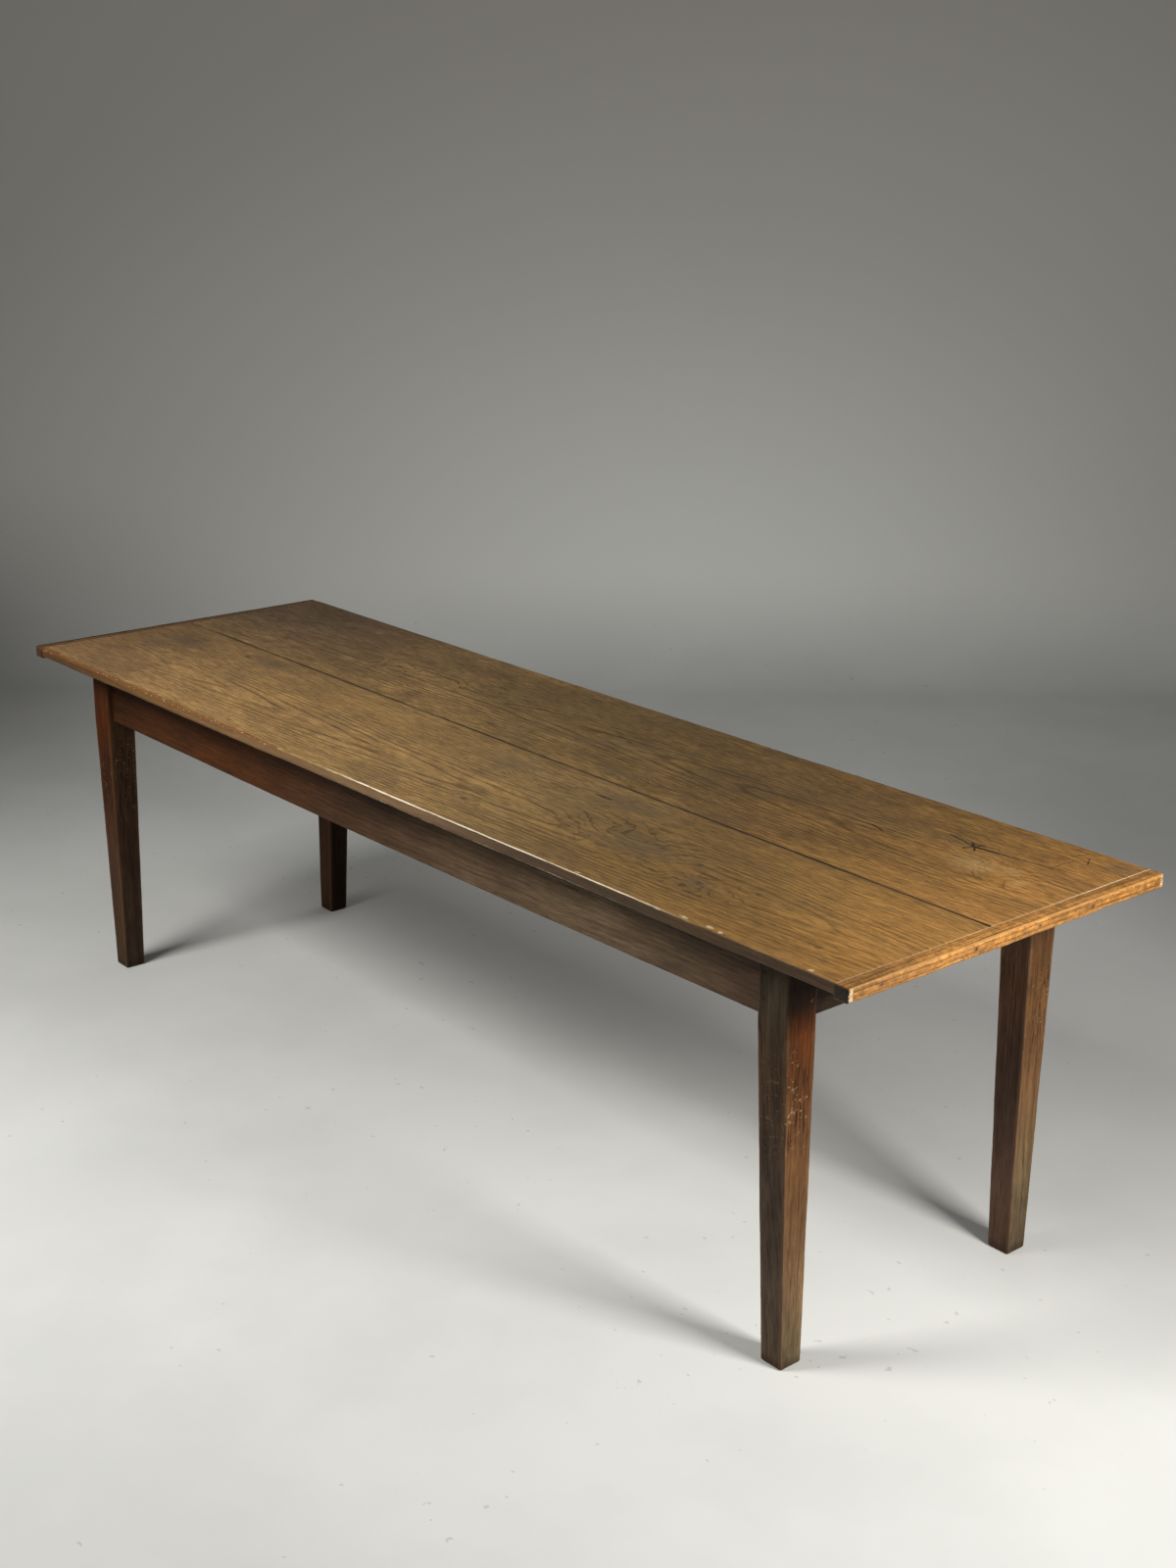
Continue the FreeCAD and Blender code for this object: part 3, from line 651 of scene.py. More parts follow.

# %% [markdown]
# The edge of the top is darker than the top, and darker again toward its lower arris. Its arris is rubbed
# bare: brown at the left and dull at the right. In the middle it is almost white, partly wood rubbed bare
# where arms have rested and partly a painted highlight.

# %% Top finish: edges, shine and relief
edge_tone = tones(tree, along, [
    (0.05, (0.078, 0.032, 0.010)), (0.20, (0.138, 0.061, 0.015)), (0.42, (0.172, 0.097, 0.041)),
    (0.58, (0.170, 0.098, 0.050)), (0.70, (0.060, 0.035, 0.021)), (0.83, (0.040, 0.024, 0.014)),
    (0.98, (0.038, 0.023, 0.014)),
])
edge_low = ease(tree, axes[2], plank_base + 0.008, plank_base + 0.001)
edge_tone = wash(tree, edge_tone, edge_low, 0.5, (0.035, 0.018, 0.009))
on_edge = ease(tree, axes[2], plank_base + 0.0200, plank_base + 0.0175)
oak = wash(tree, oak, on_edge, ease(tree, figure["Streaks"], 0.3, 0.7, 0.95, 0.70), edge_tone)
# Painted highlight: in the middle of the front the rubbed arris turns almost white, partly bare wood and
# partly a painted highlight.
arris_colour = blend(tree, ease(tree, axes[0], -0.20, 0.06), (0.140, 0.053, 0.012), (0.930, 0.820, 0.640))
arris_colour = blend(tree, ease(tree, axes[0], 0.80, 0.95), arris_colour, (0.300, 0.205, 0.110))
oak = wash(tree, oak, use["Rubbed"], 0.85, arris_colour)
crumbs = ease(tree, cloud(tree, spot, 170.0, 2.0, 0.6), 0.62, 0.69)
crumbs = times(tree, crumbs, ease(tree, worn_value(tree), 0.25, 0.6))
broken = maths(tree, "MAXIMUM", crumbs, ease(tree, chip, 0.25, 0.55))
oak = wash(tree, oak, broken, 0.75, (0.520, 0.400, 0.240))
dullness = weighted(tree, [
    (ease(tree, figure["Streaks"], 0.3, 0.7, 0.50, 0.62), 1.0), (use["Grime"], 0.14), (use["Rubbed"], 0.10),
])
lay(tree, shader, oak, dullness, 0.25)
relief(tree, shader, 0.0005, [
    (figure["Streaks"], 0.6), (figure["Pores"], -0.7), (figure["Rings"], 0.25), (crack, -3.0), (speck, -1.0),
])
print("top finish:", len(tree.nodes), "nodes")

# %% [markdown]
# ## Finish for the cleats
# A cleat lies across the planks, so its grain runs across the table. Its outer face was left from the plane
# and catches every chair, which is why it is paler and rougher. The left cleat has kept more of its stain.

# %% Cleat finish: the wood
cleat_finish, tree, shader = finish("rubbed oak cleat")
spot, axes = where_on(tree)
along_grain = place(tree, "ShaderNodeCombineXYZ", axes[1], axes[0], axes[2]).outputs[0]
figure = call(
    tree, oak_figure, Place=along_grain, Heart=(0.0, 1.36, 0.66), Ring_Width=0.0075, Wander=0.07
)
use = call(tree, rubbed, Place=along_grain, Worn=worn_value(tree))
at_left = ease(tree, axes[0], 1.0, -1.0)
broad = cloud(tree, along_grain, (3.0, 30.0, 30.0), 3.0, 0.6)
tone = blend(tree, broad, (0.240, 0.104, 0.024), (0.390, 0.178, 0.042))
tone = tint(tree, tone, tones(tree, share_of(tree, axes[1], -half_width, half_width), [
    (0.0, (0.74, 0.74, 0.78)), (0.16, (0.80, 0.80, 0.82)), (0.38, (1.16, 1.16, 1.14)),
    (0.70, (0.98, 0.97, 0.93)), (0.95, (0.90, 0.88, 0.80)),
]))
tone = blend(tree, at_left, tone, (0.105, 0.052, 0.021))
chatter = cloud(tree, along_grain, (75.0, 60.0, 110.0), 3.0, 0.7, 0.8)
light = times(
    tree,
    grain_light(tree, figure, (0.66, 1.10), (0.62, 1.35), (0.72, 1.28), 0.2),
    ease(tree, chatter, 0.35, 0.65, 0.68, 1.32),
)
oak = scaled(tree, tone, light)
oak = wash(tree, oak, figure["Pores"], 0.4, (0.120, 0.060, 0.022))
oak = wash(tree, oak, use["Grime"], 0.25, (0.150, 0.085, 0.036))
print("cleat wood ready")

# %% [markdown]
# Round each nail the rust has stained the oak dark. Along the back half of the right cleat's joint a thin
# pale line is a painted highlight, where the inner arris catches the light. The cleats' end grain is painted
# dark, the right one's nearly black, partly the dirt that end grain drinks and partly painted shade, and
# their corners are torn to pale splinters.

# %% Cleat finish: rust, joint line and torn corners
nail_shares = (-0.815, -0.253, 0.147, 0.5, 0.86)
nail_z = top_z - 0.012
halos = strongest(tree, [
    patch(tree, spot, (sign * half_length, share * half_width, nail_z), (0.012, 0.011, 0.008))
    for share in nail_shares for sign in (-1, 1)
])
oak = wash(tree, oak, halos, 0.75, (0.090, 0.050, 0.024))
oak = wash(tree, oak, use["Rubbed"], 0.55, (0.430, 0.235, 0.080))
# Painted highlight: a thin pale line along the back half of the right cleat's joint.
joint_highlight = times(
    tree,
    ease(tree, axes[0], joint_x + 0.0030, joint_x + 0.0018),
    ease(tree, axes[0], 0.0, 0.1),
    ease(tree, axes[1], 0.08, 0.16, 0.35, 1.0),
)
oak = blend(tree, joint_highlight, oak, (0.640, 0.520, 0.350))
off_middle = maths(tree, "ABSOLUTE", axes[1])
# The end faces are painted dark, partly the dirt that end grain drinks and partly painted shade.
end_grain_shade = ease(tree, off_middle, half_width - 0.0026, half_width - 0.0014)
end_shade_tone = blend(tree, at_left, (0.014, 0.010, 0.007), (0.070, 0.034, 0.015))
oak = wash(tree, oak, end_grain_shade, 0.94, end_shade_tone)
splinter = cloud(tree, spot, (150.0, 150.0, 420.0), 3.0, 0.65)
corner_x = maths(tree, "MULTIPLY_ADD", splinter, 0.0070, axes[0])
corner_y = maths(tree, "MULTIPLY_ADD", splinter, 0.0120, off_middle)
torn = times(
    tree,
    ease(tree, corner_x, half_length + 0.0016, half_length + 0.0026),
    ease(tree, corner_y, half_width - 0.0040, half_width - 0.0010),
)
oak = wash(tree, oak, torn, 0.75, (0.600, 0.460, 0.290))
upper = times(
    tree,
    ease(tree, axes[2], top_z - 0.0040, top_z - 0.0012),
    ease(tree, axes[0], joint_x + 0.0018, joint_x + 0.0034),
)
oak = wash(tree, oak, upper, 0.30, (0.110, 0.066, 0.026))
underneath = ease(tree, axes[2], cleat_base + 0.006, cleat_base + 0.001)
oak = wash(tree, oak, underneath, 0.6, (0.100, 0.060, 0.028))
lay(tree, shader, oak, ease(tree, figure["Streaks"], 0.3, 0.7, 0.46, 0.60), 0.22)
relief(tree, shader, 0.0008, [(figure["Streaks"], 1.0), (figure["Pores"], -0.6), (figure["Rings"], 0.4)])
print("cleat finish:", len(tree.nodes), "nodes")

# %% [markdown]
# ## Finish for the legs and aprons
# The frame was stained darker than the top, and the stain has aged unevenly. A function gives the tone at a
# place. Plain parts wander between two colours. The long aprons go from red brown to a bleached grey brown,
# and at each shoulder a painted shadow stands for the shade where the apron meets the leg.

# %% Tones of the aprons and plain parts


def mixed(dark, warm):
    """A tone that wanders between two colours."""

    def tone_of(tree, axes, mottle):
        return blend(tree, ease(tree, mottle, 0.3, 0.7), dark, warm)

    return tone_of


def mottled_tone(tree, tone, mottle, depth):
    """A tone made darker and lighter in patches."""
    return tint(tree, tone, blend(tree, mottle, (1 - depth,) * 3, (1 + depth,) * 3))


def apron_tone_and_shade(tree, axes, mottle):
    tone = tones(tree, share_of(tree, axes[0], -1.05, 1.05), [
        (0.035, (0.044, 0.015, 0.005)), (0.14, (0.063, 0.021, 0.006)), (0.29, (0.064, 0.021, 0.006)),
        (0.523, (0.064, 0.036, 0.020)), (0.668, (0.120, 0.076, 0.043)), (0.80, (0.145, 0.098, 0.056)),
        (0.917, (0.126, 0.083, 0.050)), (0.976, (0.090, 0.054, 0.034)),
    ])
    tone = mottled_tone(tree, tone, mottle, 0.2)
    shoulder = leg_x - leg_size
    # Painted shadow: the apron's ends beside each shoulder are darkened almost to black.
    shoulder_shade = ease(tree, maths(tree, "ABSOLUTE", axes[0]), shoulder - 0.0075, shoulder - 0.0035)
    return wash(tree, tone, shoulder_shade, 0.85, (0.010, 0.006, 0.004))


print("apron tones ready")

# %% [markdown]
# The legs are redder under the top and dusty near the floor. Each face's colours also hold painted light and
# shade: the faces that look to the front and the sides of the left legs are painted darker, the back left
# leg's sides darkest, and the sides of the right front leg are painted lighter toward the floor and end in
# painted shadow under the top. One run of colours goes up each face, and the normal says which face we are
# on.

# %% Tones of the legs


def leg_tone_and_shade(tree, axes, mottle):
    height = share_of(tree, axes[2], 0.0, plank_base)
    right_front = tones(tree, height, [
        (0.05, (0.080, 0.054, 0.034)), (0.24, (0.085, 0.059, 0.042)), (0.48, (0.049, 0.033, 0.023)),
        (0.71, (0.072, 0.040, 0.022)), (0.89, (0.054, 0.039, 0.024)),
    ])
    left_front = tones(tree, height, [
        (0.047, (0.051, 0.029, 0.012)), (0.355, (0.071, 0.033, 0.016)), (0.62, (0.041, 0.010, 0.002)),
        (0.85, (0.063, 0.016, 0.003)),
    ])
    # The right front leg's sides: painted lighter toward the floor, and nearly black at the top as painted
    # shadow under the top.
    near_side = tones(tree, height, [
        (0.035, (0.152, 0.110, 0.058)), (0.235, (0.162, 0.092, 0.044)), (0.48, (0.126, 0.060, 0.023)),
        (0.69, (0.084, 0.030, 0.009)), (0.805, (0.076, 0.022, 0.005)), (0.88, (0.018, 0.007, 0.003)),
    ])
    back_side = tones(tree, height, [
        (0.03, (0.104, 0.072, 0.043)), (0.205, (0.124, 0.084, 0.042)), (0.47, (0.140, 0.070, 0.029)),
        (0.725, (0.108, 0.049, 0.017)), (0.90, (0.084, 0.040, 0.016)),
    ])
    left_side = tones(tree, height, [
        (0.09, (0.062, 0.039, 0.025)), (0.465, (0.054, 0.028, 0.017)), (0.775, (0.056, 0.026, 0.012)),
    ])
    at_left = ease(tree, axes[0], 0.2, -0.2)
    at_back = ease(tree, axes[1], -0.1, 0.1)
    side = blend(tree, at_left, blend(tree, at_back, near_side, back_side), left_side)
    # Painted shade: the back left leg's sides are darkened further.
    side = wash(tree, side, at_left, at_back, tint(tree, side, (0.35, 0.30, 0.25)))
    front = blend(tree, at_left, right_front, left_front)
    front = blend(tree, at_back, front, tint(tree, front, (1.28, 1.06, 1.04)))
    tone = blend(tree, ease(tree, looking(tree)[1], -0.3, -0.7), side, front)
    tone = blend(tree, ease(tree, axes[2], 0.024, 0.004, 0.0, 0.55), tone, (0.022, 0.015, 0.010))
    return mottled_tone(tree, tone, mottle, 0.25)


print("leg tones ready")

# %% [markdown]
# One function makes stained wood from a tone. It is told the grain's direction, so that the legs, aprons,
# rails and pegs share it. Chairs have scored the legs at seat height and knocked pale nicks into them, most
# on the faces that look to the right.

# %% Finish: stained wood


def scarred(tree, spot, axes, wood):
    """Dark scores and pale nicks in a belt at the height of a chair's seat."""
    belt = times(
        tree,
        ease(tree, axes[2], 0.36, 0.44),
        ease(tree, axes[2], 0.60, 0.52),
        ease(tree, looking(tree)[0], 0.3, 0.7, 0.35, 1.0),
    )
    zone = cloud(tree, spot, (7.0, 7.0, 5.0))
    for scale, start, stop, amount, colour in (
        ((170.0, 170.0, 16.0), 0.66, 0.76, 0.8, (0.014, 0.008, 0.005)),
        ((90.0, 90.0, 150.0), 0.77, 0.84, 0.6, (0.300, 0.220, 0.140)),
    ):
        hits = maths(tree, "MULTIPLY_ADD", zone, 0.30, cloud(tree, spot, scale, 3.0, 0.7))
        wood = wash(tree, wood, times(tree, ease(tree, hits, start, stop), belt), amount, colour)
    return wood


def stained(name, order, heart, ring_width, tone_of, arris_colour, is_leg=False):
    """Stained oak whose grain runs along the first of the three axes in the order."""
    made, tree, shader = finish(name)
    spot, axes = where_on(tree)
    along_grain = place(tree, "ShaderNodeCombineXYZ", *[axes[i] for i in order]).outputs[0]
    figure = call(tree, oak_figure, Place=along_grain, Heart=heart, Ring_Width=ring_width, Wander=0.05)
    use = call(tree, rubbed, Place=along_grain, Worn=worn_value(tree))
    broad = cloud(tree, along_grain, (6.0, 18.0, 18.0), 5.0, 0.66, 0.5)
    tone = tone_of(tree, axes, ease(tree, broad, 0.3, 0.7))
    wood = scaled(tree, tone, grain_light(tree, figure, (0.82, 1.04), (0.76, 1.20), (0.80, 1.18)))
    wood = wash(tree, wood, figure["Pores"], 0.4, (0.022, 0.012, 0.007))
    wood = wash(tree, wood, use["Grime"], 0.30, (0.030, 0.019, 0.012))
    if is_leg:
        wood = scarred(tree, spot, axes, wood)
    wood = wash(tree, wood, use["Rubbed"], 0.22 if is_leg else 0.35, arris_colour)
    lay(tree, shader, wood, ease(tree, figure["Streaks"], 0.3, 0.7, 0.42, 0.58), 0.05)
    relief(tree, shader, 0.0006, [(figure["Streaks"], 1.0), (figure["Pores"], -0.7), (figure["Rings"], 0.3)])
    return made


print("stained wood ready")

# %% [markdown]
# Now every part of the frame gets its own stain. The end aprons are painted nearly black, partly their stain
# and partly painted shade under the overhang of the top. The inside was never stained, dirt fills the seam,
# and the pegs show their end grain.

# %% Stain the parts of the frame
shaded_leg_finish = stained(
    "stained oak leg with painted shade", (2, 0, 1), (0.0, 0.9, 0.2), 0.0075, leg_tone_and_shade, (0.170, 0.095, 0.045), True
)
long_apron_finish = stained(
    "stained oak long apron", (0, 1, 2), (0.0, -0.40, 0.55), 0.0085, apron_tone_and_shade, (0.140, 0.085, 0.045)
)
end_apron_in_shade = stained(
    "stained oak end apron in painted shade", (1, 0, 2), (0.0, 1.18, 0.55), 0.0085,
    mixed((0.014, 0.009, 0.006), (0.028, 0.018, 0.011)), (0.050, 0.032, 0.020),
)
inner_finish = stained(
    "unstained inner oak", (1, 0, 2), (0.0, 0.3, 0.5), 0.0085,
    mixed((0.150, 0.095, 0.052), (0.230, 0.150, 0.085)), (0.260, 0.180, 0.105),
)
seam_finish = stained(
    "dirt in the seam", (0, 1, 2), (0.0, 0.3, 0.5), 0.0085,
    mixed((0.020, 0.012, 0.007), (0.035, 0.022, 0.012)), (0.040, 0.026, 0.015),
)
peg_finish = stained(
    "oak peg end grain", (2, 0, 1), (0.0, 0.0, 0.0), 0.0012,
    mixed((0.040, 0.020, 0.010), (0.075, 0.040, 0.020)), (0.120, 0.070, 0.038),
)
print("frame finishes ready")

# %% [markdown]
# ## Finish for the iron
# Old nails and screws rust brown in oak: a dark iron, with rust in patches and a little bare metal between.

# %% Finish: rusted iron
iron_finish, tree, shader = finish("rusted iron")
flakes = cloud(tree, where_on(tree)[0], 700.0, 4.0, 0.65)
rust = ease(tree, flakes, 0.38, 0.62)
feed(tree, shader.inputs["Base Color"], blend(tree, rust, (0.050, 0.045, 0.042), (0.095, 0.040, 0.018)))
feed(tree, shader.inputs["Roughness"], ease(tree, rust, 0.0, 1.0, 0.45, 0.85))
feed(tree, shader.inputs["Metallic"], ease(tree, rust, 0.0, 1.0, 0.8, 0.1))
relief(tree, shader, 0.0003, [(flakes, 1.0)])
print("iron finish ready")

# %% [markdown]
# ## Uneven shapes
# Old wood is never quite straight. `drift` gives a slow, repeatable wander along a length, and `rough` gives
# a finer unevenness over a surface. Both start from fixed seeds, so the table comes out the same every time.

# %% Wander and roughness


def drift(along, seed, longest, shortest, waves=6):
    """A repeatable wander between about -1 and 1 along a length."""
    rng = np.random.default_rng(seed)
    along = np.asarray(along, float)
    total = np.zeros_like(along)
    weight = 0.0
    for wave in np.geomspace(longest, shortest, waves):
        size = (wave / longest) ** 0.6
        total += size * np.sin(2 * math.pi * (along / (wave * rng.uniform(0.8, 1.2)) + rng.random()))
        weight += size * size
    return total / math.sqrt(weight * 2)


def rough(points, stretch, seed):
    """A repeatable unevenness between -1 and 1 at each point, stretched along the grain."""
    scaled_points = points.reshape(-1, 3) * np.array(stretch) + seed
    return np.array([noise.noise(Vector(p)) for p in scaled_points]).reshape(points.shape[:-1])


def bump_at(along, places, width):
    """One soft hump at each place along a length."""
    return sum(np.exp(-(((along - place) / width) ** 2)) for place in places)


def step_at(along, place, width):
    """A soft step from 0 up to 1 at a place, or down to 0 where the width is negative."""
    return 1 / (1 + np.exp(-(along - place) / width))


print("wander and roughness ready")

# %% [markdown]
# Planks, cleats, legs and boards could be boxes with a bevel, but a bevel is the same all along. So all of
# them are lofted: we draw the cross-section at many stations and stretch one skin over them. A cross-section
# is a list of runs, and each run says how far in, how high and how worn its points are.

# %% Arrises and cross-sections


def arc(count):
    """Angles over a quarter turn."""
    return np.linspace(0.0, math.pi / 2, count)


def rounding(across, down, turn):
    """What a rounded arris takes off sideways and from above, by the angle of turn."""
    return across * (1 - np.cos(turn)), down * (1 - np.sin(turn))


def column(values, least):
    """Values along a length as one column, none of them under the least."""
    return np.clip(values, least, None)[:, None]


def gather(runs, stations):
    """Put the runs of every cross-section side by side, as three sheets of numbers."""
    return [
        np.concatenate([np.broadcast_to(run[i], (stations, run[i].shape[1])) for run in runs], axis=1)
        for i in range(3)
    ]


print("cross-sections ready")

# %% [markdown]
# The skin closes the loft at both ends and has its normals worked out again, because a loft that runs the
# other way would be inside out. The wear stays with the points, so that the finish can bare the arrises.

# %% Lofting a skin


def skin(name, loops, worn, sharp=32):
    """One closed piece lofted through cross-section loops, with a wear value kept at each point."""
    stations, around = loops.shape[:2]
    mesh = bpy.data.meshes.new(name)
    faces = []
    for i in range(stations - 1):
        for j in range(around):
            k = (j + 1) % around
            faces.append((i * around + j, i * around + k, (i + 1) * around + k, (i + 1) * around + j))
    faces.append(tuple(range(around)))
    faces.append(tuple(range((stations - 1) * around, stations * around)))
    mesh.from_pydata(loops.reshape(-1, 3).tolist(), [], faces)
    wear = mesh.attributes.new("worn", "FLOAT", "POINT")
    wear.data.foreach_set("value", worn.reshape(-1).astype(np.float32))
    work = bmesh.new()
    work.from_mesh(mesh)
    bmesh.ops.recalc_face_normals(work, faces=work.faces)
    work.to_mesh(mesh)
    work.free()
    smooth(mesh, sharp)
    piece = bpy.data.objects.new(name, mesh)
    bpy.context.scene.collection.objects.link(piece)
    return piece


def smooth(mesh, sharp):
    """Shade a mesh smooth, but keep edges that turn by more than so many degrees."""
    for face in mesh.polygons:
        face.use_smooth = True
    mesh.set_sharp_from_angle(angle=math.radians(sharp))


print("lofting ready")

# %% [markdown]
# ## The planks
# A plank is lofted along the table. The front arris is well rounded at the left, where people sit down and
# slide along it, stays crisp in the middle and is chipped at the right. Along the seam the two planks nearly
# touch in places and stand open in others.

# %% Edges of a plank
tight_seams = ((-1.40, -1.13), (-0.865, -0.790), (-0.118, 0.0), (-0.67, -0.60))


def seam_opening(x):
    """Half the width of the gap between the planks."""
    opening = 0.0010 + 0.0006 * drift(x, 31, 0.35, 0.03)
    for start, stop in tight_seams:
        opening = opening * (1 - 0.75 * step_at(x, start, 0.006) * step_at(x, stop, -0.006))
    return np.clip(opening, 0.0002, None)


def outer_arris(side, x, seed):
    """How far the outer arris is rounded across the top and down the edge."""
    if side == "front":
        soft = step_at(x, -0.28, -0.16)
        chips = bump_at(x, (0.938, 1.091), 0.010) + 0.8 * bump_at(x, (1.162, -0.911, 0.87), 0.007)
        across = 0.0017 + 0.0080 * soft + 0.0016 * chips + 0.0006 * drift(x, seed + 1, 0.4, 0.012)
        down = 0.0016 + 0.0062 * soft + 0.0030 * chips + 0.0006 * drift(x, seed + 2, 0.3, 0.012)
    else:
        across = 0.0038 + 0.0012 * drift(x, seed + 1, 0.5, 0.015)
        down = 0.0034 + 0.0010 * drift(x, seed + 2, 0.4, 0.015)
    return column(across, 0.0010), column(down, 0.0010)


def plank_wear(side, x):
    """How much of the wear shows along the plank. It is raised along the middle of the front, where the
    rubbed arris also carries a painted highlight.
    """
    if side == "back":
        return np.full(len(x), 0.6)
    bright = 0.50 + 0.42 * step_at(x, 0.02, 0.03) * step_at(x, 0.85, -0.03)
    return np.where(x < -0.25, 0.95, bright)


print("plank edges ready")

# %% [markdown]
# A plank's cross-section starts at the outer arris, crosses the top to the seam, turns down and comes back
# underneath and up the edge. Its points lie close on the arrises, where the shape turns.

# %% Cross-section of a plank


def plank_runs(side, across, down, width, under, seam_arris):
    """The cross-section's runs: how far in from the edge, how high and how worn."""
    one = np.ones_like(width)
    turn = arc(8)[None, :]
    cut, drop = rounding(across, down, turn)
    runs = [(cut, top_z - drop, one * (0.35 + 0.65 * np.sin(2 * turn)))]
    steps = np.linspace(0.0, 1.0, 42)[None, 1:-1]
    over_top = across + (width - seam_arris - across) * steps
    inset = np.concatenate([across + 0.0009, across + 0.003, over_top], axis=1)
    fade = np.clip(across, 0.0004, 0.008) if side == "back" else np.where(across > 0.005, 0.007, 0.0005)
    runs.append((inset, top_z * np.ones_like(inset), 0.6 * np.exp(-(inset - across) / fade)))
    turn = arc(4)[None, ::-1]
    cut, drop = rounding(seam_arris, seam_arris, turn)
    runs.append((width - cut, top_z - drop, 0.25 * one + 0 * turn))
    runs += [(width, (plank_base + 0.004) * one, 0 * one), (width, plank_base * one, 0 * one)]
    steps = np.linspace(1.0, 0.0, 12)[None, 1:-1]
    inset = under + (width - under) * steps
    runs.append((inset, plank_base * np.ones_like(inset), np.zeros_like(inset)))
    turn = arc(5)[None, ::-1]
    cut, rise = rounding(under, under, turn)
    runs.append((cut, plank_base + rise, one * (0.6 * np.sin(2 * turn))))
    edge_height = top_z - down - plank_base - under
    runs += [
        (0.0004 * one, plank_base + under + edge_height * share, 0.06 * one) for share in (0.33, 0.66, 0.93)
    ]
    return runs


print("plank cross-section ready")

# %% [markdown]
# The stations lie six millimetres apart. Closer ones at both ends let the top drop a little into its joint
# with the cleat, which shows as a fine line. Last, noise takes a hair off the top and the edge.

# %% Make the two planks
end_drop, top_wave, edge_wave = 0.0007, 0.00025, 0.00022


def plank(side):
    outward, seed = {"front": (-1.0, 11), "back": (1.0, 23)}[side]
    x = np.concatenate([
        [-joint_x, -joint_x + 0.0006], np.arange(-joint_x + 0.004, joint_x - 0.003, 0.006),
        [joint_x - 0.0006, joint_x],
    ])
    to_end = (x / joint_x) ** 2
    bow = 0.003 * to_end if side == "front" else 0.0045 * (1 - to_end)
    edge = half_width - bow - 0.0006 * (1 + drift(x, seed, 0.9, 0.05))
    seam = seam_left + (seam_right - seam_left) * (x + joint_x) / (2 * joint_x)
    width = (edge - outward * seam - seam_opening(x))[:, None]
    across, down = outer_arris(side, x, seed)
    under = column(0.0042 + 0.0014 * drift(x, seed + 3, 0.6, 0.02), 0.0015)
    seam_arris = column(0.0013 + 0.0006 * drift(x, seed + 4, 0.25, 0.015), 0.0004)
    inset, z, worn = gather(plank_runs(side, across, down, width, under, seam_arris), len(x))
    y = outward * (edge[:, None] - inset)
    points = np.stack([np.broadcast_to(x[:, None], y.shape), y, z], axis=2)
    wave = rough(points, (2.2, 5.0, 1.0), seed)
    fine = rough(points, (30.0, 60.0, 60.0), seed + 5)
    on_top = z > top_z - 0.004
    points[:, :, 2] -= np.where(on_top, top_wave * (1 + wave), 0.0)
    points[:, :, 1] -= outward * np.where(inset < 0.012, edge_wave * (1 + fine), 0.0)
    for end in (0, -1):
        points[end, :, 2] -= np.where(on_top[end], end_drop, 0.0)
    return skin(f"plank_{side}", points, worn * plank_wear(side, x)[:, None])


planks = {side: plank(side) for side in ("front", "back")}
for piece in planks.values():
    piece.data.materials.append(top_finish)
    print(piece.name, len(piece.data.vertices), "points")

# %% [markdown]
# ## The cleats
# A cleat is the narrow board across the end that keeps the planks flat. It is the same loft, run across the
# table. The corners of the left cleat are worn round, and those of the right one are still nearly sharp.

# %% Cross-section of a cleat


def rounded_off(to_end, radius):
    """What a quarter round of this radius takes off, by the distance to the end."""
    left = np.sqrt(np.clip(radius**2 - (radius - to_end) ** 2, 0, None))
    return np.where(to_end < radius, radius - left, 0.0)


def cleat_runs(wide, high, low, over, under):
    """The cross-section's runs: how far out from the joint, how high and how worn."""
    one = np.ones_like(wide)
    lip = 0.0006
    runs = [(0.0 * one, high - end_drop, 0.30 * one), (lip * one, high, 0.30 * one)]
    runs += [(lip + (wide - over - lip) * share, high * one, 0.10 * one) for share in (0.25, 0.5, 0.75)]
    turn = arc(7)[None, ::-1]
    drop, cut = rounding(over, over, turn)
    runs.append((wide - cut, high - drop, one * (0.4 + 0.6 * np.sin(2 * turn))))
    face_height = low + under - high + over
    runs += [(wide, high - over + face_height * share, 0.15 * one) for share in np.linspace(0.1, 0.9, 7)]
    turn = arc(5)[None, :]
    cut, rise = rounding(under, under, turn)
    runs.append((wide - cut, low + rise, one * (0.8 * np.sin(2 * turn))))
    runs += [((wide - under) * share, low * one, 0.0 * one) for share in (0.66, 0.33, 0.0)]
    runs.append((0.0 * one, (high + low) / 2, 0.0 * one))
    return runs


print("cleat cross-section ready")

# %% [markdown]
# Close stations at both ends of a cleat let its corners turn smoothly. Two noises, one slow and one quick,
# leave the marks of the plane on its outer face.

# %% Make the two cleats
plane_wave, plane_chatter = 0.0004, 0.00025


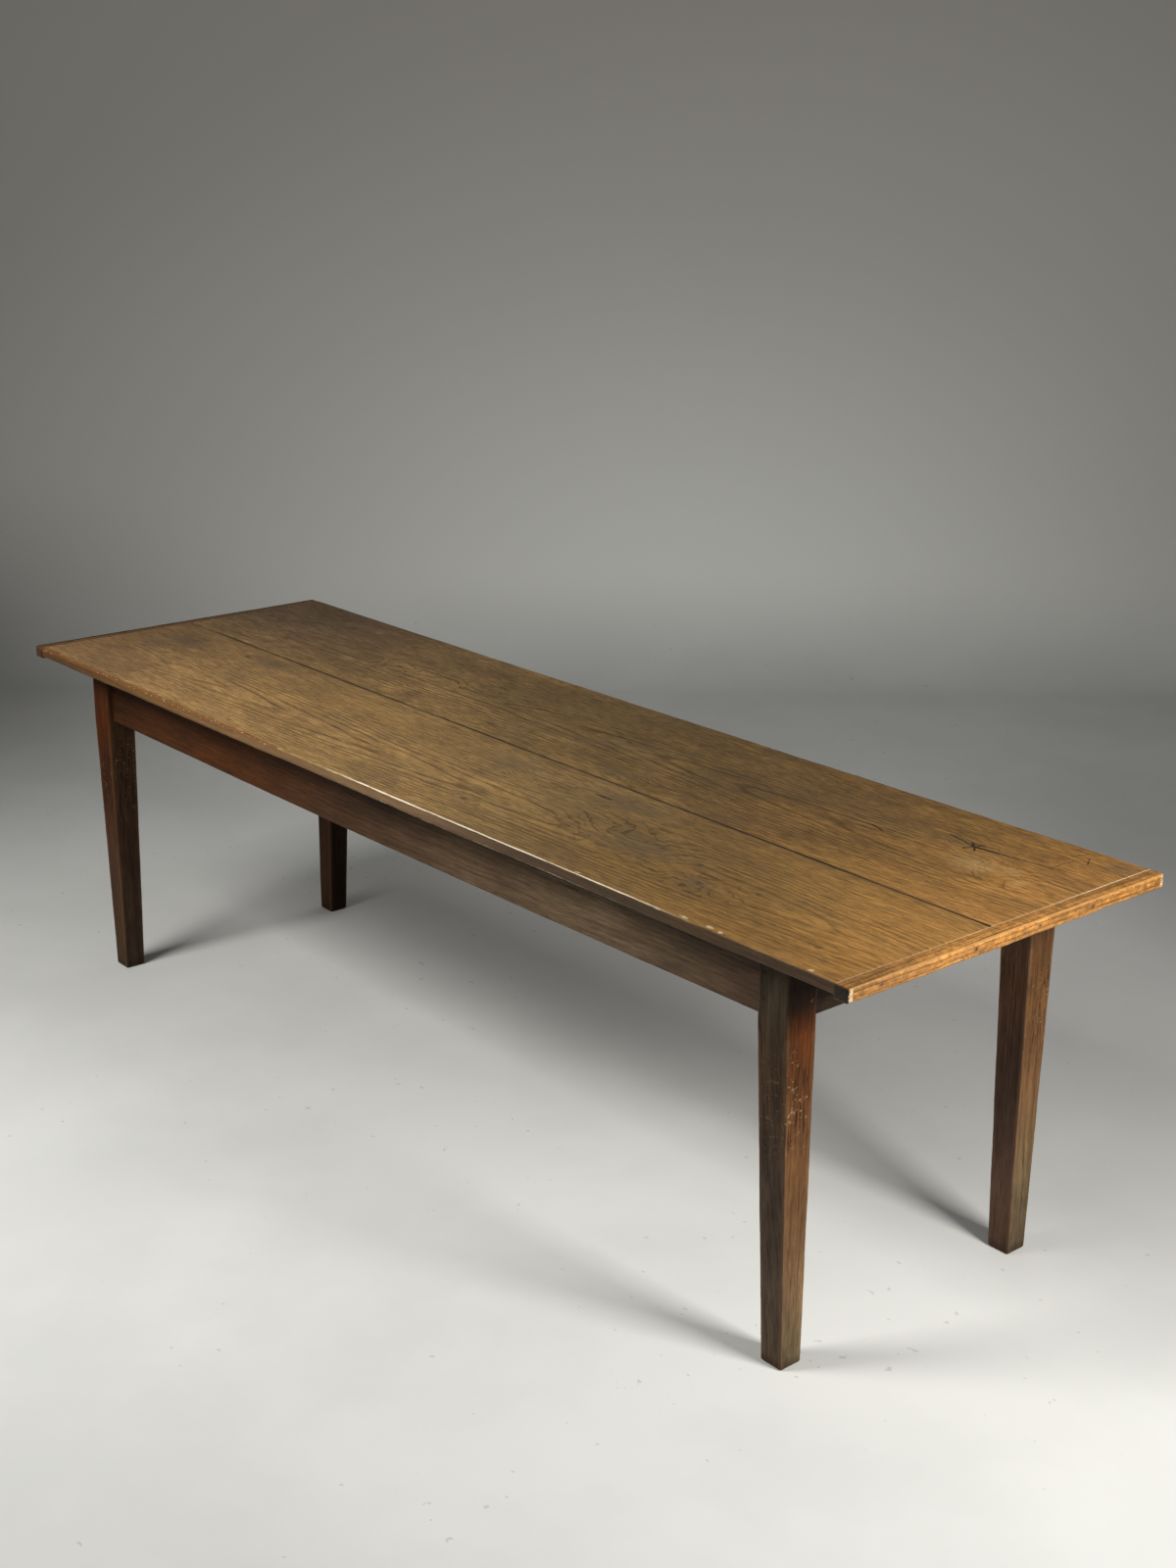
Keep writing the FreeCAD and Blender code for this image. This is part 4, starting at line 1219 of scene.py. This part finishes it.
def cleat(end):
    outward, seed, corner, crown = {"right": (1.0, 41, 0.0035, 0.0022), "left": (-1.0, 57, 0.009, 0.006)}[end]
    close = np.array([0.0, 0.0004, 0.0012, 0.0025, 0.0045, 0.007, 0.0095, 0.012])
    middle = np.arange(-half_width + 0.016, half_width - 0.014, 0.0045)
    y = np.concatenate([-half_width + close, middle, half_width - close[::-1]])
    to_end = half_width - np.abs(y)
    wide = half_length - joint_x - rounded_off(to_end, corner) - 0.0005 * (1 + drift(y, seed, 0.35, 0.02))
    over = column(0.0030 + 0.0010 * drift(y, seed + 1, 0.2, 0.012), 0.001)
    under = column(0.0040 + 0.0016 * drift(y, seed + 2, 0.2, 0.015), 0.001)
    lost = rounded_off(to_end, crown)
    high = (top_z - 0.0004 - lost)[:, None]
    low = (cleat_base + 0.0004 + lost)[:, None]
    out, z, worn = gather(cleat_runs(wide[:, None], high, low, over, under), len(y))
    x = outward * (joint_x + out)
    points = np.stack([x, np.broadcast_to(y[:, None], x.shape), z], axis=2)
    wave = rough(points, (1.0, 18.0, 150.0), seed)
    fine = rough(points, (60.0, 60.0, 260.0), seed + 7)
    on_face = np.clip((out - 0.02) / 0.008, 0, 1)
    points[:, :, 0] -= outward * on_face * (plane_wave * (1 + wave) + plane_chatter * (1 + fine))
    return skin(f"cleat_{end}", points, worn)


cleats = {end: cleat(end) for end in ("left", "right")}
for piece in cleats.values():
    piece.data.materials.append(cleat_finish)
    print(piece.name, len(piece.data.vertices), "points")

# %% [markdown]
# ## The legs
# A leg is square at the aprons and tapers on two faces to the floor, as a joiner planes it. Its arrises were
# only eased, and years of knocks made the easing uneven, so the cut wanders along each of them.

# %% Cross-section of a leg
corner_wear = np.array([0.9, 0.7, 0.6, 0.6, 0.7, 0.9])
face_wear = np.array([0.35, 0.1, 0.0, 0.0, 0.1, 0.35])


def leg_section(half, level, foot, seed):
    """One cross-section round its own middle, with four eased corners."""
    corners = []
    t = np.linspace(0, 1, len(corner_wear))
    quarter = t * math.pi / 2
    for corner, signs in enumerate(((1, 1), (-1, 1), (-1, -1), (1, -1))):
        cut = 0.0016 + 0.0005 * drift([level], seed + corner, 0.22, 0.012)[0] + foot
        straight = half - cut * np.stack([t, 1 - t], axis=1)
        bulge = half - cut * (1 - np.stack([np.cos(quarter), np.sin(quarter)], axis=1))
        line = straight * 0.7 + bulge * 0.3
        if corner in (1, 3):
            line = line[::-1]
        corners.append(line * np.array(signs))
    ring = []
    between = np.linspace(0, 1, len(face_wear) + 2)[1:-1, None]
    for here, there in zip(corners, corners[1:] + corners[:1]):
        ring += [here, here[-1] + (there[0] - here[-1]) * between]
    return np.concatenate(ring)


print("leg cross-section ready")

# %% [markdown]
# The taper starts at the knee, just under the aprons. A box can't tell how far a foot tapers, so that is
# written here. One function makes every leg, each from its own seed, and wears its arrises away at the
# floor.

# %% Make the four legs
foot_size, foot_inset_y, knee_z = 0.047, 0.017, 0.616
leg_wave = 0.0003
leg_seeds = {("front", "left"): 61, ("front", "right"): 67, ("back", "left"): 71, ("back", "right"): 79}


def leg(side, end):
    sign_x = 1.0 if end == "right" else -1.0
    sign_y = 1.0 if side == "back" else -1.0
    seed = leg_seeds[side, end]
    z = np.concatenate([
        [0.0, 0.0006, 0.0015, 0.003, 0.005], np.arange(0.010, 0.610, 0.008), [knee_z],
        np.arange(0.622, plank_base - 0.004, 0.009), [plank_base],
    ])
    slope = np.clip((knee_z - z) / knee_z, 0, None)
    size = leg_size - (leg_size - foot_size) * slope
    outer_y = leg_y - foot_inset_y * slope
    foot = np.where(z < 0.004, 0.0022 * (1 - z / 0.004) ** 2, 0.0)
    wear = np.tile(np.concatenate([corner_wear, face_wear]), 4)
    loops, worn = [], []
    for i, level in enumerate(z):
        ring = leg_section(size[i] / 2 - foot[i], level, foot[i], seed)
        centre = np.array([sign_x * (leg_x - size[i] / 2), sign_y * (outer_y[i] - size[i] / 2)])
        loops.append(np.column_stack([ring + centre, np.full(len(ring), level)]))
        worn.append(np.maximum(wear, 0.9 * np.exp(-level / 0.006)))
    loops, worn = np.array(loops), np.array(worn)
    fine = rough(loops, (22.0, 22.0, 7.0), seed)
    pull = np.where(loops[:, :, 2] < 0.72, leg_wave, 0.0) * (1 + fine)
    away = loops - loops.mean(axis=1, keepdims=True)
    away[:, :, 2] = 0
    loops = loops - away / np.linalg.norm(away, axis=2, keepdims=True) * pull[:, :, None]
    worn *= 1.0 - 0.35 * (loops[:, :, 2] > 0.60)
    return skin(f"leg_{side}_{end}_wood", loops, worn, 24)


legs = {(side, end): leg(side, end) for side, end in leg_seeds}
for piece in legs.values():
    piece.data.materials.append(shaded_leg_finish)
    print(piece.name, len(piece.data.vertices), "points")

# %% [markdown]
# ## Aprons and rails
# These are plain boards with their arrises eased by a few strokes of the plane. One function lofts a board
# along either direction of the table.

# %% A plain board
board_wave = 0.0003


def board(name, low, high, along_x, arris, under, seed, sag=0.0):
    """A board between two corners, with its upper arrises, its lower ones and its sag in metres."""
    start, stop = (low.x, high.x) if along_x else (low.y, high.y)
    run = np.linspace(start, stop, max(12, int((stop - start) / 0.015)))
    one = np.ones((len(run), 1))
    centre = ((low.y + high.y) if along_x else (low.x + high.x)) / 2
    half = ((high.y - low.y) if along_x else (high.x - low.x)) / 2
    top = high.z * one
    base = (low.z - sag * np.sin(math.pi * (run - start) / (stop - start)))[:, None]
    soft_top = column(arris * (1 + 0.3 * drift(run, seed, 0.4, 0.03)), 0.0003)
    soft_low = column(under * (1 + 0.3 * drift(run, seed + 1, 0.4, 0.03)), 0.0003)
    turn = arc(4)[None, :]
    low_cut, low_rise = rounding(soft_low, soft_low, turn)
    top_cut, top_drop = rounding(soft_top, soft_top, turn)
    runs = []
    for sign in (1, -1):
        low_arris = (sign * (half - low_cut), base + low_rise, one * (0.9 * np.sin(2 * turn) + 0.2))
        top_arris = (sign * (half - top_cut), top - top_drop, one * (0.4 * np.sin(2 * turn)))
        face = [(sign * half * one, base + (top - base) * s, 0.0 * one) for s in (0.12, 0.3, 0.5, 0.7, 0.88)]
        first, last = (low_arris, top_arris) if sign > 0 else (top_arris, low_arris)
        runs += [tuple(values[:, ::-1] for values in first), *face[::sign], last]
    side, z, worn = gather(runs, len(run))
    length = np.broadcast_to(run[:, None], side.shape)
    points = np.stack([length, centre + side, z] if along_x else [centre + side, length, z], axis=2)
    wave = rough(points, (3.0, 3.0, 12.0), seed)
    points[:, :, 1 if along_x else 0] -= np.sign(side) * board_wave * (1 + wave)
    return skin(name, points, worn)


print("boards can be cut")

# %% [markdown]
# Each board reaches a millimetre into what carries it, so that no light shows at its shoulders. The long
# front apron has sagged a little in the middle.

# %% Make the aprons and the cross rails
into_joint = 0.001
aprons, rails = {}, {}
for side, seed, sag in (("front", 83, 0.0055), ("back", 89, 0.001)):
    low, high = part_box(f"apron_{side}")
    high.x = leg_x - leg_size + into_joint
    low.x = -high.x
    aprons[side] = board(f"apron_{side}_wood", low, high, True, 0.0012, 0.0026, seed, sag)
    aprons[side].data.materials.append(long_apron_finish)
for end, seed in (("left", 97), ("right", 101)):
    low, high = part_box(f"apron_{end}")
    high.y = leg_y - leg_size + into_joint
    low.y = -high.y
    aprons[end] = board(f"apron_{end}_wood", low, high, False, 0.0012, 0.0026, seed)
    aprons[end].data.materials.append(end_apron_in_shade)
for number in (1, 2, 3):
    low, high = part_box(f"cross_rail_{number}")
    high.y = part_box("apron_back")[0].y + into_joint
    low.y = -high.y
    rails[number] = board(f"rail_{number}_wood", low, high, False, 0.0010, 0.0022, 103 + number)
    rails[number].data.materials.append(inner_finish)
print(len(aprons), "aprons,", len(rails), "rails")

# %% [markdown]
# ## Small pieces that repeat
# Nails, pegs, screws and buttons are each made once and set in many places. Copies could be placed one by
# one, but a geometry node tree sets them all: it takes a pattern piece and a cloud of points that know which
# way to face, turns each copy a little by a seeded chance, and hands back plain mesh.

# %% Node tree: set a pattern piece at every point
setting = bpy.data.node_groups.new("set small pieces", "GeometryNodeTree")
for label, kind in (
    ("Geometry", "NodeSocketGeometry"), ("Pattern", "NodeSocketObject"), ("Spin", FLOAT),
    ("Uneven", FLOAT), ("Seed", "NodeSocketInt"), ("Finish", "NodeSocketMaterial"),
):
    setting.interface.new_socket(label, in_out="INPUT", socket_type=kind)
setting.interface.new_socket("Geometry", in_out="OUTPUT", socket_type="NodeSocketGeometry")
wants = setting.nodes.new("NodeGroupInput").outputs
gives = setting.nodes.new("NodeGroupOutput").inputs
pattern = place(setting, "GeometryNodeObjectInfo", transform_space="ORIGINAL")
feed(setting, pattern.inputs["Object"], wants["Pattern"])
facing = place(setting, "GeometryNodeInputNamedAttribute", "facing", data_type="FLOAT_VECTOR").outputs[0]
turned = place(setting, "FunctionNodeEulerToRotation", facing).outputs[0]
chance = place(setting, "FunctionNodeRandomValue", data_type="FLOAT")
feed(setting, chance.inputs[2], times(setting, wants["Spin"], -1.0))
feed(setting, chance.inputs[3], wants["Spin"])
feed(setting, chance.inputs["Seed"], wants["Seed"])
spin = place(setting, "ShaderNodeCombineXYZ", 0.0, 0.0, chance.outputs[1]).outputs[0]
spin = place(setting, "FunctionNodeEulerToRotation", spin).outputs[0]
turned = place(setting, "FunctionNodeRotateRotation", turned, spin, rotation_space="LOCAL").outputs[0]
growth = place(setting, "FunctionNodeRandomValue", data_type="FLOAT")
feed(setting, growth.inputs[2], maths(setting, "SUBTRACT", 1.0, wants["Uneven"]))
feed(setting, growth.inputs[3], 1.0)
feed(setting, growth.inputs["Seed"], maths(setting, "ADD", wants["Seed"], 1.0))
copies = setting.nodes.new("GeometryNodeInstanceOnPoints")
feed(setting, copies.inputs["Points"], wants["Geometry"])
feed(setting, copies.inputs["Instance"], pattern.outputs["Geometry"])
feed(setting, copies.inputs["Rotation"], turned)
feed(setting, copies.inputs["Scale"], growth.outputs[1])
real = place(setting, "GeometryNodeRealizeInstances", copies.outputs[0]).outputs[0]
dressed = setting.nodes.new("GeometryNodeSetMaterial")
feed(setting, dressed.inputs["Geometry"], real)
feed(setting, dressed.inputs["Material"], wants["Finish"])
feed(setting, gives["Geometry"], dressed.outputs[0])
print("setting tree:", len(setting.nodes), "nodes")

# %% [markdown]
# A pattern piece is turned from a profile, a list of radius and height, with its z axis pointing out of the
# wood. A few flat sides are enough for something so small.

# %% Turning and sawing


def turning(name, profile, sides, squash=0.0, seed=0):
    """A pattern turned around its z axis, with uneven sides when asked."""
    rng = np.random.default_rng(seed)
    uneven = 1 + squash * rng.uniform(-1, 1, sides)
    angles = [2 * math.pi * k / sides for k in range(sides)]
    work = bmesh.new()
    rings = [
        [
            work.verts.new((radius * wide * math.cos(angle), radius * wide * math.sin(angle), height))
            for wide, angle in zip(uneven, angles)
        ]
        for radius, height in profile
    ]
    for below, above in zip(rings, rings[1:]):
        for k in range(sides):
            work.faces.new((below[k], below[(k + 1) % sides], above[(k + 1) % sides], above[k]))
    work.faces.new(rings[0][::-1])
    work.faces.new(rings[-1])
    bmesh.ops.recalc_face_normals(work, faces=work.faces)
    return pattern_of(name, work)


def pattern_of(name, work):
    """Turn finished work into a pattern piece."""
    mesh = bpy.data.meshes.new(name)
    work.to_mesh(mesh)
    work.free()
    return bpy.data.objects.new(name, mesh)


def corners_of(made):
    return [item for item in made["geom"] if isinstance(item, bmesh.types.BMVert)]


def cut_slot(pattern, across, deep, top):
    """Saw a screwdriver slot into a screw's head."""
    work = bmesh.new()
    work.from_mesh(pattern.data)
    for sign in (-1, 1):
        everything = work.verts[:] + work.edges[:] + work.faces[:]
        bmesh.ops.bisect_plane(work, geom=everything, plane_co=(sign * across / 2, 0, 0), plane_no=(1, 0, 0))
    faces = [f for f in work.faces if f.normal.z > 0.9 and abs(f.calc_center_median().x) < across / 2]
    for vert in corners_of(bmesh.ops.extrude_face_region(work, geom=faces)):
        vert.co.z = top - deep
    bmesh.ops.delete(work, geom=faces, context="FACES_ONLY")
    bmesh.ops.recalc_face_normals(work, faces=work.faces)
    work.to_mesh(pattern.data)
    work.free()


print("turning and sawing ready")

# %% [markdown]
# The nail is a forged head with uneven hammered faces, the peg is a whittled pin with a rounded end, and the
# screw is turned and then slotted with a saw.

# %% Patterns: nail, peg and screw
nail_pattern = turning(
    "nail pattern",
    [(0.0014, -0.006), (0.0034, -0.0016), (0.0037, -0.0006), (0.0026, 0.0), (0.0010, 0.0003)],
    7, 0.10, 3,
)
peg_pattern = turning(
    "peg pattern",
    [(0.0042, -0.008), (0.0045, -0.0012), (0.0044, 0.0), (0.0038, 0.0005), (0.0020, 0.0008)],
    9, 0.06, 5,
)
screw_top, slot_width, slot_depth = 0.0026, 0.0009, 0.0009
screw_pattern = turning(
    "screw pattern",
    [(0.0022, -0.004), (0.0022, 0.0), (0.0046, 0.0), (0.0046, 0.0012), (0.0040, 0.0021), (0.0026, screw_top)],
    20,
)
cut_slot(screw_pattern, slot_width, slot_depth, screw_top)
print("nail, peg and screw patterns cut")

# %% [markdown]
# The button is a short block with a tongue that hooks into the apron's groove, sawn from one profile and
# eased all round.

# %% Pattern: button
button_half, button_ease = 0.016, 0.0012
button_outline = [
    (-0.006, 0.0), (0.042, 0.0), (0.042, 0.020), (0.002, 0.020), (0.002, 0.008), (-0.006, 0.008),
]
work = bmesh.new()
flat_face = work.faces.new([work.verts.new((along, -button_half, up)) for along, up in button_outline])
grown = corners_of(bmesh.ops.extrude_face_region(work, geom=[flat_face]))
bmesh.ops.translate(work, vec=(0, 2 * button_half, 0), verts=grown)
bmesh.ops.recalc_face_normals(work, faces=work.faces)
bmesh.ops.bevel(work, geom=work.edges[:], offset=button_ease, segments=2, affect="EDGES", profile=0.6)
button_pattern = pattern_of("button pattern", work)
print("button pattern cut")

# %% [markdown]
# To set a pattern we make one point for each copy, keep its turn with it, and let the node tree work. What
# comes out is made a plain mesh at once, and the pattern is taken away.

# %% Setting a pattern


def set_pieces(name, pattern, places, spin, uneven, seed, finish_used):
    """One piece of many copies, given as (place, turn), each spun and shrunk a little by chance."""
    mesh = bpy.data.meshes.new(name)
    mesh.from_pydata([p for p, _ in places], [], [])
    facing = mesh.attributes.new("facing", "FLOAT_VECTOR", "POINT")
    facing.data.foreach_set("vector", np.array([r for _, r in places], np.float32).reshape(-1))
    piece = bpy.data.objects.new(name, mesh)
    for made in (piece, pattern):
        bpy.context.scene.collection.objects.link(made)
    worker = piece.modifiers.new("setting", "NODES")
    worker.node_group = setting
    wanted = {"Pattern": pattern, "Spin": spin, "Uneven": uneven, "Seed": seed, "Finish": finish_used}
    for item in setting.interface.items_tree:
        if item.in_out == "INPUT" and item.name in wanted:
            worker[item.identifier] = wanted[item.name]
    bpy.context.view_layer.update()
    ready = bpy.data.meshes.new_from_object(piece.evaluated_get(bpy.context.evaluated_depsgraph_get()))
    piece.modifiers.clear()
    piece.data = ready
    ready.name = name
    if not len(ready.materials):
        ready.materials.append(finish_used)
    bpy.data.objects.remove(pattern)
    smooth(ready, 28)
    print(name, len(places), "set,", len(ready.polygons), "faces")
    return piece


def facing_out(direction):
    return tuple(Vector(direction).to_track_quat("Z", "Y").to_euler())


print("patterns can be set")

# %% [markdown]
# Nails go through both cleats into the planks, nearly flush. Pegs go through the legs into the tenons, two
# for each joint.

# %% Set the nails and the pegs
nails = set_pieces(
    "nail_heads", nail_pattern,
    [((sign * (half_length - 0.0010), share * half_width, nail_z), facing_out((sign, 0, 0)))
     for sign in (-1, 1) for share in nail_shares],
    1.5, 0.10, 7, iron_finish,
)
peg_levels = (0.6535, 0.6965)
peg_sunk, peg_inset = 0.0004, 0.012
peg_x, peg_y = leg_x - leg_size + peg_inset, leg_y - leg_size + peg_inset
peg_spots = []
for sx in (-1, 1):
    for sy in (-1, 1):
        for level in peg_levels:
            peg_spots.append(((sx * peg_x, sy * (leg_y - peg_sunk), level), facing_out((0, sy, 0))))
            peg_spots.append(((sx * (leg_x - peg_sunk), sy * peg_y, level), facing_out((sx, 0, 0))))
pegs = set_pieces("peg_ends", peg_pattern, peg_spots, 3.0, 0.12, 9, peg_finish)

# %% [markdown]
# A button lies against the inner face of its apron, square to it, and its screw goes up into the plank.

# %% Set the buttons and their screws
face_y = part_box("apron_back")[0].y
face_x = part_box("apron_right")[0].x
button_z = plank_base - 0.020
screw_reach = 0.024
upside_down = (math.pi, 0, 0)
button_spots, screw_spots = [], []
for side, end, sign in (("front", "left", -1), ("back", "right", 1)):
    for number in (1, 2, 3, 4):
        low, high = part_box(f"button_{side}_{number}")
        x = (low.x + high.x) / 2
        button_spots.append(((x, sign * face_y, button_z), (0, 0, -sign * math.pi / 2)))
        screw_spots.append(((x, sign * (face_y - screw_reach), button_z), upside_down))
    for number in (1, 2):
        low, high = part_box(f"button_{end}_{number}")
        y = (low.y + high.y) / 2
        button_spots.append(((sign * face_x, y, button_z), (0, 0, math.pi if sign > 0 else 0.0)))
        screw_spots.append(((sign * (face_x - screw_reach), y, button_z), upside_down))
buttons = set_pieces("top_buttons", button_pattern, button_spots, 0.03, 0.0, 13, inner_finish)
screws = set_pieces("screw_heads", screw_pattern, screw_spots, 3.0, 0.0, 17, iron_finish)

# %% [markdown]
# ## Hand the pieces over
# Every piece rides on the table's one body and stands for the drawn piece it replaces. The loose tongue in
# the seam is only a dark line down in the gap, so the drawn one stays and takes the finish of dirt.

# %% Set each piece on the table's body and hide the drawn pieces it replaces


def hand_over(piece, slot, *nodes):
    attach(piece, "root")
    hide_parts(*nodes)


for side, piece in planks.items():
    hand_over(piece, "oak_top", f"top_plank_{side}")
for end, piece in cleats.items():
    hand_over(piece, "oak_cleat", f"end_cleat_{end}")
for (side, end), piece in legs.items():
    hand_over(piece, "oak_leg", f"leg_{side}_{end}")
for where, piece in aprons.items():
    hand_over(piece, "oak_apron", f"apron_{where}")
for number, piece in rails.items():
    hand_over(piece, "oak_inner", f"cross_rail_{number}")
button_nodes = [f"button_{side}_{n}" for side in ("front", "back") for n in (1, 2, 3, 4)]
button_nodes += [f"button_{end}_{n}" for end in ("left", "right") for n in (1, 2)]
hand_over(nails, "iron", "cleat_nails")
hand_over(pegs, "oak_peg", "joint_pegs")
hand_over(buttons, "oak_inner", *button_nodes)
hand_over(screws, "iron", "button_screws")
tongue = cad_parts["seam_tongue"]
tongue.data.materials.clear()
tongue.data.materials.append(seam_finish)

# %% [markdown]
# ## The studio
# The table stands on a pale floor that curves up into a grey wall far behind it. One sheet makes both, laid
# out along the camera's line of sight.

# %% Floor and wall
eye = Vector((3.2283079, -2.5396682, 2.0043912))
target = Vector((-0.5295376, 0.6625984, 0.4))
look = (target - eye).normalized()
level_look = Vector((look.x, look.y, 0)).normalized()
level_right = level_look.cross(Vector((0, 0, 1)))
ground = Vector((eye.x, eye.y, 0))

bend_depth, bend, studio_half_width = 7.2, 0.5, 16.0
profile = [(depth, 0.0) for depth in (-16.0, -6.0, -3.0, 0.0, 2.0, 4.0, 6.0, bend_depth)]
profile += [
    (bend_depth + bend * math.sin(a), bend * (1 - math.cos(a))) for a in np.linspace(0.1, math.pi / 2, 12)
]
profile += [(bend_depth + bend, height) for height in (1.0, 2.0, 3.5, 5.5)]
studio_points = [
    ground + level_look * depth + level_right * side + Vector((0, 0, height))
    for depth, height in profile for side in (-studio_half_width, studio_half_width)
]
studio_faces = [(2 * i, 2 * i + 1, 2 * i + 3, 2 * i + 2) for i in range(len(profile) - 1)]
studio_mesh = bpy.data.meshes.new("studio")
studio_mesh.from_pydata(studio_points, [], studio_faces)
for face in studio_mesh.polygons:
    face.use_smooth = True
studio = bpy.data.objects.new("studio", studio_mesh)
bpy.context.scene.collection.objects.link(studio)
print("studio sheet:", len(studio_faces), "faces")

# %% [markdown]
# Its paint is scuffed and lightly specked. A painted pool of light lies on the wall behind the table, and
# painted shade darkens the sheet at the back left, the back right and the front right. The sheet shows only
# its front, so that a view from behind the table looks through it.

# %% Paint for the studio
studio_finish, tree, shader = finish("studio paint")
spot, axes = where_on(tree)
scuffs = cloud(tree, spot, 1.3, 5.0, 0.6)
from_eye = vectors(tree, "SUBTRACT", spot, tuple(ground))
depth = vectors(tree, "DOT_PRODUCT", from_eye, tuple(level_look))
aside = vectors(tree, "DOT_PRODUCT", from_eye, tuple(level_right))
room = place(tree, "ShaderNodeCombineXYZ", depth, aside, axes[2]).outputs[0]
# Painted light on the wall behind the table, and three patches of painted shade on the floor and wall.
painted_wall_light = patch(tree, room, (7.7, 0.5, 0.2), (3.0, 2.3, 1.5))
painted_shade_back_left = patch(tree, room, (7.4, -2.7, 0.0), (2.6, 1.9, 0.8))
painted_shade_back_right = patch(tree, room, (5.2, 1.9, 0.0), (1.6, 1.4, 0.8))
painted_shade_front_right = patch(tree, room, (1.9, 1.4, 0.0), (1.7, 1.4, 0.8))
wall_tone = blend(tree, ease(tree, axes[2], 0.2, 2.6), (0.60, 0.60, 0.565), (0.64, 0.62, 0.58))
wall_tone = blend(tree, painted_wall_light, wall_tone, (0.82, 0.83, 0.80))
floor_tone = blend(tree, ease(tree, scuffs, 0.35, 0.65), (0.573, 0.582, 0.566), (0.622, 0.631, 0.614))
grit = maths(tree, "MULTIPLY_ADD", scuffs, 0.30, cloud(tree, spot, (30.0, 38.0, 30.0), 2.0, 0.6))
floor_tone = blend(tree, ease(tree, grit, 0.865, 0.90, 0.0, 0.32), floor_tone, (0.20, 0.19, 0.175))
paint = blend(tree, ease(tree, axes[2], 0.0, 0.35), floor_tone, wall_tone)
paint = wash(tree, paint, painted_shade_back_left, 0.75, (0.20, 0.195, 0.18))
paint = wash(tree, paint, painted_shade_back_right, 0.55, (0.28, 0.28, 0.27))
paint = wash(tree, paint, painted_shade_front_right, 0.58, (0.44, 0.445, 0.44))
feed(tree, shader.inputs["Base Color"], paint)
feed(tree, shader.inputs["Roughness"], ease(tree, scuffs, 0.3, 0.7, 0.75, 0.9))
clear = tree.nodes.new("ShaderNodeBsdfTransparent")
from_behind = tree.nodes.new("ShaderNodeNewGeometry").outputs["Backfacing"]
front_only = place(tree, "ShaderNodeMixShader", from_behind, shader.outputs[0], clear.outputs[0])
feed(tree, tree.nodes["Material Output"].inputs["Surface"], front_only.outputs[0])
studio.data.materials.append(studio_finish)
print("studio painted")

# %% [markdown]
# ## Light and camera
# One soft lamp stands low at the right end and rakes along the top. Another in front lights the left half
# and the floor. A third, weak and low, lifts the back of the table out of the dark. A faint all-round light
# keeps the shadows open.

# %% Lamps


def lamp(name, where, aim, width, height, power, colour, spread):
    light = bpy.data.lights.new(name, "AREA")
    light.shape = "RECTANGLE"
    light.size = width
    light.size_y = height
    light.energy = power
    light.color = colour
    light.spread = math.radians(spread)
    made = bpy.data.objects.new(name, light)
    made.location = where
    made.rotation_euler = (Vector(aim) - Vector(where)).to_track_quat("-Z", "Y").to_euler()
    made.visible_camera = False
    bpy.context.scene.collection.objects.link(made)


lamp("lamp_right", (2.70, 0.10, 1.50), (0.9, 0.0, 0.60), 0.6, 0.6, 60.0, (1.0, 0.97, 0.93), 180)
lamp("lamp_front", (-0.60, -2.50, 2.95), (-0.35, -0.75, 0.2), 1.2, 1.2, 48.0, (1.0, 0.98, 0.95), 110)
lamp("lamp_back", (-1.10, 1.95, 0.55), (-0.40, 0.20, 0.50), 1.4, 0.4, 4.0, (1.0, 0.98, 0.95), 150)
world = bpy.data.worlds.new("studio air")
world.use_nodes = True
world.node_tree.nodes["Background"].inputs["Color"].default_value = (0.75, 0.76, 0.78, 1)
world.node_tree.nodes["Background"].inputs["Strength"].default_value = 0.11
bpy.context.scene.world = world
print("lamps set")

# %% [markdown]
# The camera stands where the photograph was taken from. It is level but for a slight roll, and its lens is
# given by the focal length in pixels of a picture 1600 pixels high.

# %% Camera
roll = 0.0087
sensor, focal_pixels, picture_pixels = 36.0, 2185.7588, 1600.0
level = look.cross(Vector((0, 0, 1))).normalized()
upward = level.cross(look)
right = level * math.cos(roll) + upward * math.sin(roll)
up = upward * math.cos(roll) - level * math.sin(roll)
camera = bpy.data.objects.new("camera", bpy.data.cameras.new("camera"))
camera.data.sensor_width = sensor
camera.data.lens = focal_pixels * sensor / picture_pixels
camera.matrix_world = Matrix((
    (right.x, up.x, -look.x, eye.x),
    (right.y, up.y, -look.y, eye.y),
    (right.z, up.z, -look.z, eye.z),
    (0, 0, 0, 1),
))
bpy.context.scene.collection.objects.link(camera)
bpy.context.scene.camera = camera
bpy.context.scene.view_settings.view_transform = "Standard"
print("camera set")
